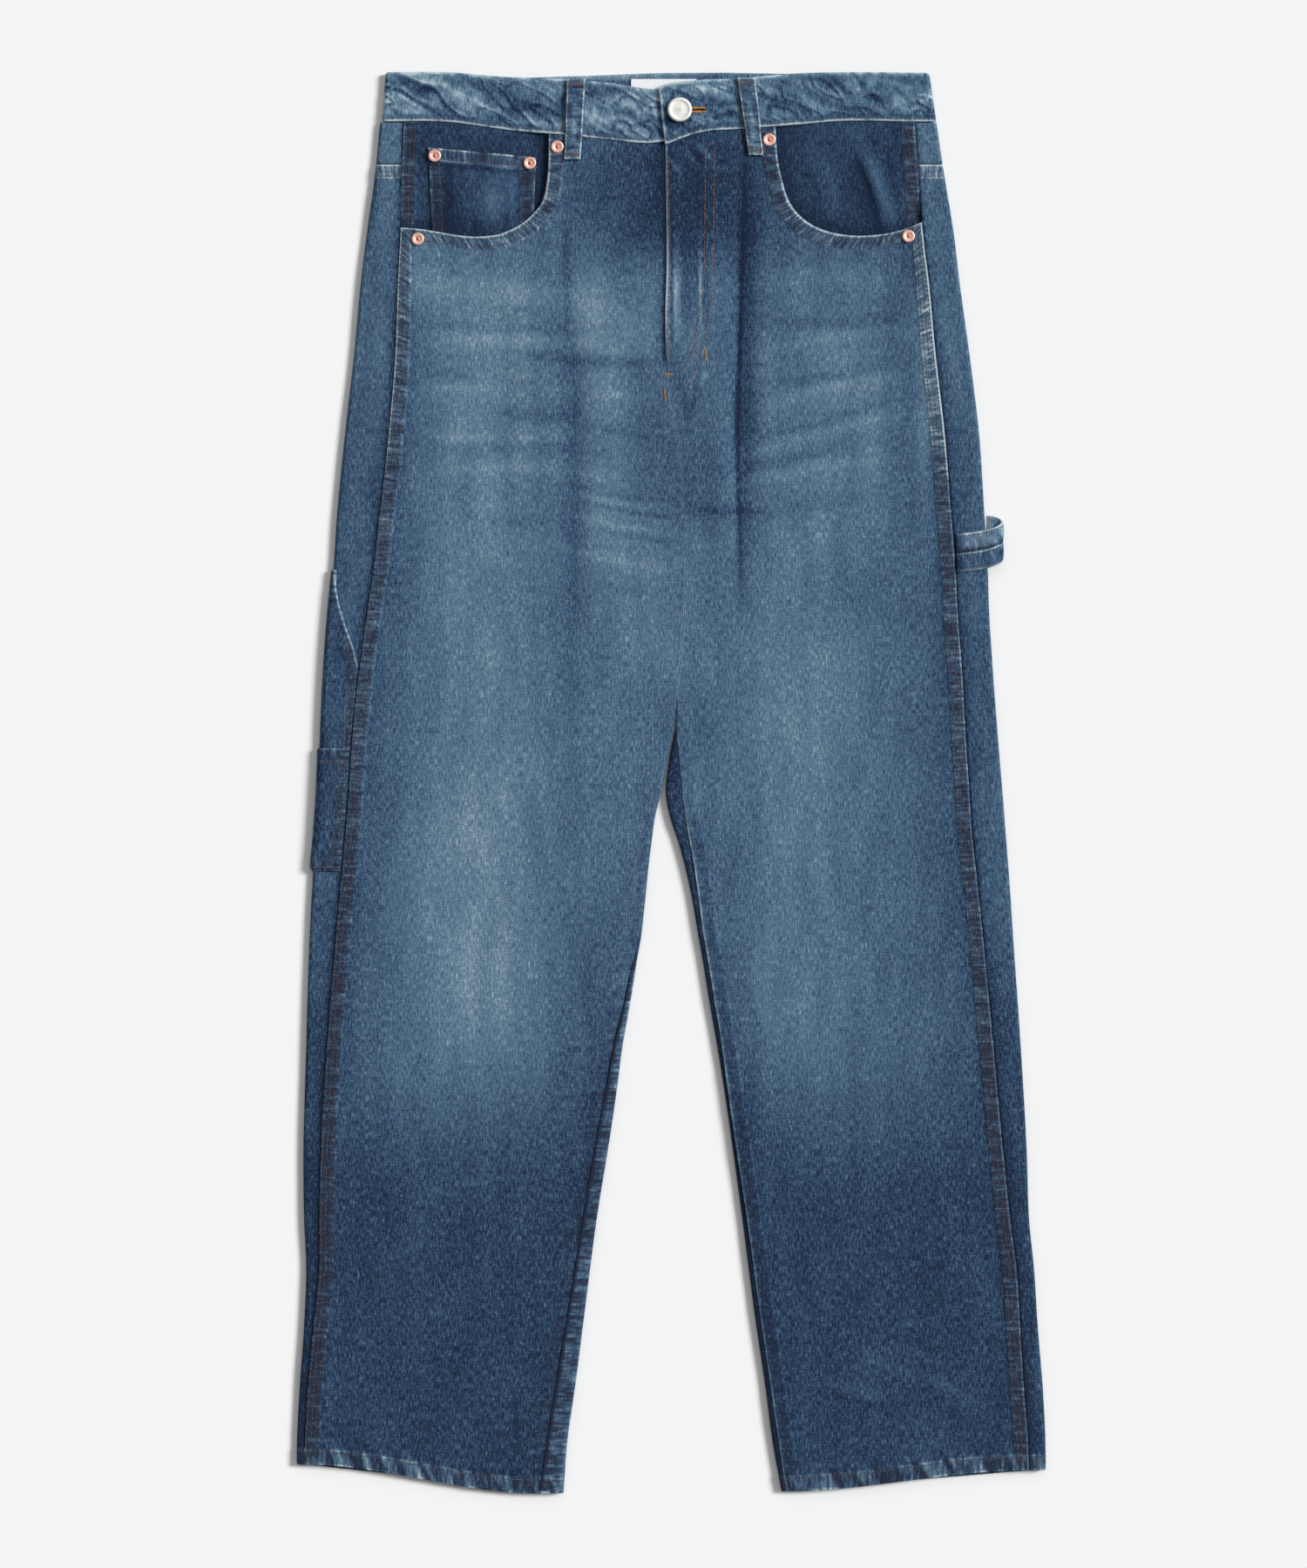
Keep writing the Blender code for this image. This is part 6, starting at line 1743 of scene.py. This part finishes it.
def hammer_loop(finish):
    """Hammer loop: the strap's path swept along the leg, with two rolls across its width."""
    path = np.stack([column(HAMMER_PATH, name) for name in ("out", "height", "up")])
    length = np.concatenate([[0.0], np.cumsum(np.hypot(np.diff(path[0]), np.diff(path[1])))])
    place = np.linspace(0, length[-1], STRAP_ROWS)
    out, height, up = (hermite(length, values, place) for values in path)
    along = np.stack([np.gradient(out), np.gradient(height)], axis=-1)
    along = along / np.hypot(along[:, 0], along[:, 1])[:, None]
    even = np.linspace(-0.5, 0.5, STRAP_COLUMNS)
    across = (even - 0.075 * np.sin(2 * np.pi * even)) * STRAP_WIDTH
    across[0], across[-1] = -STRAP_WIDTH / 2, STRAP_WIDTH / 2
    shape = (len(out), len(across))
    point = np.stack([
        np.broadcast_to(out[:, None], shape), up[:, None] + across, np.broadcast_to(height[:, None], shape),
    ], axis=-1)
    normal = np.stack([
        np.broadcast_to(-along[:, 1:], shape), np.zeros(shape), np.broadcast_to(along[:, :1], shape),
    ], axis=-1)
    rolls = STRAP_RIDGE * (1 - np.abs(2 * np.abs(2 * across / STRAP_WIDTH) - 1)) ** 0.6
    low_room = np.clip((point[..., 2] - STRAP_CLOTH / 2) * 2, 0, 1)
    from_edge = STRAP_WIDTH / 2 - np.abs(across) * np.ones(shape)
    pucker = noise(place[:, None] / 3.2 + across * 0.15, across * np.ones(shape) / 6.0, 151)
    lift = rolls + 0.12 * pucker - 0.14 * bump_at(np.abs(across) - STRAP_STITCH, 0.6)
    lift = lift - 0.12 * bump_at(from_edge - STRAP_STITCH, 0.6)
    wear = 0.4 + 0.3 * pucker + 0.5 * bump_at(from_edge - 0.5, 1.1) + 0.7 * bump_at(across + 0.8, 0.8)
    wear = wear - 0.6 * bump_at(across - 0.8, 0.9) + 0.4 * smooth_step((across - 1.0) / 4.0)
    # Painted shadow at the strap's root, where it leaves the side seam.
    wear = wear - 0.7 * bump_at(place[:, None] - 0.5, 4.0)
    thick = STRAP_CLOTH / 2 - 0.5 * (1 - edge_round(from_edge))
    outer = point + normal * (thick + lift * low_room)[..., None]
    grain = np.stack([place[:, None] * np.ones(shape), across * np.ones(shape)], axis=-1)
    marks = {"wear": wear, "band": 0.6 * bump_at(np.abs(across) - STRAP_STITCH, 2.2) * np.ones(shape)}
    piece = dress("hammer_loop_denim", outer, point, normal, STRAP_CLOTH, grain, marks, finish)
    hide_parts("hammer_loop")
    return piece, outer, normal, across


piece, outer, normal, across = hammer_loop(leg_denim)
strap_lines = []
for distance in (-11.9, -STRAP_STITCH, STRAP_STITCH, 11.9):
    place = np.interp(distance, across, np.arange(STRAP_COLUMNS))
    strap_lines.append(grid_line(outer, normal, np.arange(2, 80), place))
sew("hammer_loop_thread", strap_lines, seam_thread)

# Fly and its tacks: the left front's curved double row that holds the zip tape, in rust thread, with
# orange bartacks at the foot of the lap. The stitches follow the cloth they are sewn to.
FLY_LINES = (
    ((24.3, 455.0), (24.2, 438.0), (23.9, 410.0), (23.6, 385.0), (23.0, 360.0), (21.0, 336.0), (17.0, 316.0),
     (11.0, 298.0), (3.0, 288.0)),
    ((30.6, 456.0), (30.6, 438.0), (30.2, 410.0), (29.6, 385.0), (28.8, 360.0), (26.8, 334.0), (22.6, 311.0),
     (15.8, 291.0), (5.5, 279.0)),
)


def on_cloth(outer, normal, places):
    """Points and directions on a cloth's grid at plan places, from its four nearest points."""
    keep = normal[..., 2] > 0.5
    cloth, facing_up = outer[keep], normal[keep]
    points, directions = [], []
    for place in np.asarray(places, float):
        distance = ((cloth[:, :2] - place) ** 2).sum(-1)
        near = np.argpartition(distance, 4)[:4]
        weight = 1 / (distance[near] + 0.02)
        weight = weight / weight.sum()
        points.append([*place, (cloth[near, 2] * weight).sum()])
        directions.append((facing_up[near] * weight[:, None]).sum(0))
    return np.array(points), np.array(directions)


def through(places, steps):
    """Evenly spread points on a smooth curve through places."""
    places = np.array(places)
    run = np.concatenate([[0.0], np.cumsum(np.hypot(*np.diff(places, axis=0).T))])
    even = np.linspace(0, run[-1], steps)
    return np.stack([hermite(run, places[:, k], even) for k in range(2)], axis=-1)


left_outer, left_normal, left_run, left_length = fronts[LEFT]
fly_lines = [on_cloth(left_outer, left_normal, through(line, 120)) for line in FLY_LINES]
lap_rows = np.flatnonzero(front_rows(LEFT)[3] > 300.0)[6:]
lap_places = level_line(left_run[lap_rows], left_length[lap_rows] - 2.0)
fly_lines.append(grid_line(left_outer, left_normal, lap_rows, lap_places))
fly_thread = spun_thread("rust_thread", colour(92, 64, 54), colour(164, 112, 84))
sew("fly_thread", fly_lines, fly_thread)
TACKS = (
    ((24.2, 308.5), (25.0, 300.5), 1.5),
    ((-6.5, 291.0), (0.5, 290.0), 1.6),
    ((-4.5, 281.0), (-4.0, 271.5), 2.2),
)
tack_start, tack_end = [], []
for first, last, width in TACKS:
    first, last = np.array(first), np.array(last)
    length = np.hypot(*(last - first))
    side_way = np.array([first[1] - last[1], last[0] - first[0]]) / length * width / 2
    for step in np.linspace(0, 1, int(length / BARTACK_PITCH)):
        middle = first + (last - first) * step
        ends, _ = on_cloth(left_outer, left_normal, [middle - side_way, middle + side_way])
        tack_start.append(ends[0])
        tack_end.append(ends[1])
rods("fly_bartacks", tack_start, tack_end, orange_thread, 0.3)

# Rivets: copper caps pressed through the corners of the pockets, their burrs worn dark in the middle.
RIVET_RADIUS = 4.5
RIVETS = (
    ("x", "up"),
    (-168.0, 445.5),
    (-100.5, 440.5),
    (-81.0, 452.0),
    (-180.0, 386.5),
    (69.6, 457.0),
    (168.5, 388.5),
)
COIN_RIVETS = 2


def polished(name, bright, dark, rough):
    """Metal that is bright where it is rubbed and tarnished dark where its shape is sunk."""
    metal = Finish(name)
    sunk = metal.node("ShaderNodeAttribute", {"attribute_name": "sunk"}, output="Fac")
    place = metal.node("ShaderNodeTexCoord", output="Object")
    patches, scratch = metal.speckle(place, 900.0, 3.0), metal.speckle(place, 6000.0, 2.0)
    tarnish = metal.mix(sunk + (patches - 0.5) * 0.35, (*bright, 1.0), (*dark, 1.0))
    bump = metal.bump(scratch, 0.25, 0.0001)
    return metal.set(Base_Color=tarnish, Metallic=1.0, Roughness=rough + patches * 0.15, Normal=bump)


def turned(name, place, profile, sides, finish, sunk_inside):
    """Round piece: a smoothed profile of radius and height, turned about an upright axis."""
    profile = np.array(profile)
    turns = np.arange(sides) * 2 * np.pi / sides
    rings = profile[1:-1]
    ring = np.stack([
        place[0] + rings[:, :1] * np.cos(turns), place[1] + rings[:, :1] * np.sin(turns),
        rings[:, 1:] * np.ones(sides),
    ], axis=-1)
    points = np.concatenate([[[*place, profile[0, 1]]], ring.reshape(-1, 3), [[*place, profile[-1, 1]]]])
    index = 1 + np.arange(len(rings) * sides).reshape(len(rings), sides)
    beside = np.roll(index, -1, axis=1)
    quads = np.stack([index[:-1], beside[:-1], beside[1:], index[1:]], axis=-1).reshape(-1, 4).tolist()
    foot = [(0, b, a) for a, b in zip(index[0], beside[0])]
    cap = [(a, b, len(points) - 1) for a, b in zip(index[-1], beside[-1])]
    mesh = bpy.data.meshes.new(name)
    mesh.from_pydata(points * MM, [], quads + foot + cap)
    radius = np.hypot(points[:, 0] - place[0], points[:, 1] - place[1])
    sunk = within(radius, sunk_inside, 0.35 * sunk_inside)
    mesh.attributes.new("sunk", "FLOAT", "POINT").data.foreach_set("value", sunk)
    return hang(name, mesh, finish, crease=50)


copper = polished("worn_copper", colour(252, 200, 184), colour(186, 122, 104), 0.45)
for number, (x, up) in enumerate(RIVETS[1:], start=1):
    if number <= COIN_RIVETS:
        near = facing_points(RIGHT, np.ones(2), np.array([-x - 6.0, -x + 6.0]))[2]
        under = near.max() + SEAM_GAP + CLOTH + COIN_HEM
    else:
        under = LEG_HEIGHT + SEAM_RIDGE
    base, r = under + SEAM_GAP, RIVET_RADIUS
    profile = (
        (0, base), (r - 0.1, base), (r, base + 0.12), (r, base + 0.4), (r - 0.15, base + 0.7),
        (r - 0.5, base + 0.88), (r - 0.9, base + 0.9), (r - 1.5, base + 0.8), (2.3, base + 0.7),
        (1.9, base + 0.6), (1.6, base + 0.42), (1.3, base + 0.45), (1.1, base + 0.7), (0.8, base + 0.9),
        (0.4, base + 0.98), (0, base + 1.0),
    )
    piece = turned(f"rivet_{number}_cap", (x, up), profile, 40, copper, 1.2)
    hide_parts(f"rivet_{number}")

# Button: a pale shank button with a raised rim, its shank standing through the buttonhole.
BUTTON_RADIUS = 8.7
foot = BAND_HEIGHT + SEAM_GAP
seat = BAND_HEIGHT + BAND_STEP + SEAM_GAP
r = BUTTON_RADIUS
profile = (
    (0, foot), (1.9, foot), (2.0, foot + 0.1), (2.0, seat), (r - 1.2, seat), (r - 0.5, seat + 0.3),
    (r - 0.1, seat + 0.7), (r, seat + 1.1), (r, seat + 1.6), (r - 0.3, seat + 2.0), (r - 0.8, seat + 2.3),
    (r - 1.3, seat + 2.4), (r - 1.9, seat + 2.35), (r - 2.3, seat + 2.2), (r - 2.6, seat + 2.1),
    (r - 3.4, seat + 2.05), (3.6, seat + 2.08), (2.6, seat + 2.14), (1.8, seat + 2.2), (1.0, seat + 2.24),
    (0, seat + 2.25),
)
pale_metal = polished("pale_metal", colour(244, 244, 238), colour(226, 226, 218), 0.55)
piece = turned("button_cap", BUTTON_PLACE, profile, 64, pale_metal, 1.2)
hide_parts("button")

# Floor, light and camera: a pale table under a soft window on the wearer's left and a weaker one past
# the waist, seen from straight above, as the cut-out in the picture was taken.
FRAME_HEIGHT = 1.116
FRAME_CENTRE = (-0.0126, -0.0008)
CAMERA_HEIGHT = 4.0
SENSOR = 36.0
FLOOR_SIZE = 12.0

table = bpy.data.meshes.new("table_top")
half = FLOOR_SIZE / 2
corners = [(-half, -half, 0), (half, -half, 0), (half, half, 0), (-half, half, 0)]
table.from_pydata(corners, [], [(0, 1, 2, 3)])
table_top = bpy.data.objects.new("table_top", table)
bpy.context.scene.collection.objects.link(table_top)
paper = Finish("pale_table")
table.materials.append(paper.set(Base_Color=(0.9, 0.9, 0.9, 1.0), Roughness=0.95, Specular_IOR_Level=0.0))

world = bpy.data.worlds.new("soft_studio")
bpy.context.scene.world = world
world.use_nodes = True
world.node_tree.nodes["Background"].inputs["Color"].default_value = (1.0, 1.0, 1.0, 1.0)
world.node_tree.nodes["Background"].inputs["Strength"].default_value = 0.28

SUNS = (
    ("name", "from_place", "spread", "strength"),
    ("window_right", (1.0, 0.3, 0.8), 18.0, 3.35),
    ("window_top", (0.1, 1.0, 1.3), 60.0, 0.35),
)
for name, place, spread, strength in SUNS[1:]:
    lamp = bpy.data.lights.new(name, "SUN")
    lamp.angle, lamp.energy = np.radians(spread), strength
    light = bpy.data.objects.new(name, lamp)
    light.location = place
    light.rotation_euler = (np.arctan2(np.hypot(*place[:2]), place[2]), 0.0, np.arctan2(place[0], -place[1]))
    bpy.context.scene.collection.objects.link(light)

camera = bpy.data.objects.new("camera", bpy.data.cameras.new("camera"))
camera.data.sensor_width = SENSOR
camera.data.lens = SENSOR * CAMERA_HEIGHT / FRAME_HEIGHT
camera.data.clip_end = 50.0
camera.location = (*FRAME_CENTRE, CAMERA_HEIGHT)
bpy.context.scene.collection.objects.link(camera)
bpy.context.scene.camera = camera
bpy.context.scene.view_settings.view_transform = "Standard"
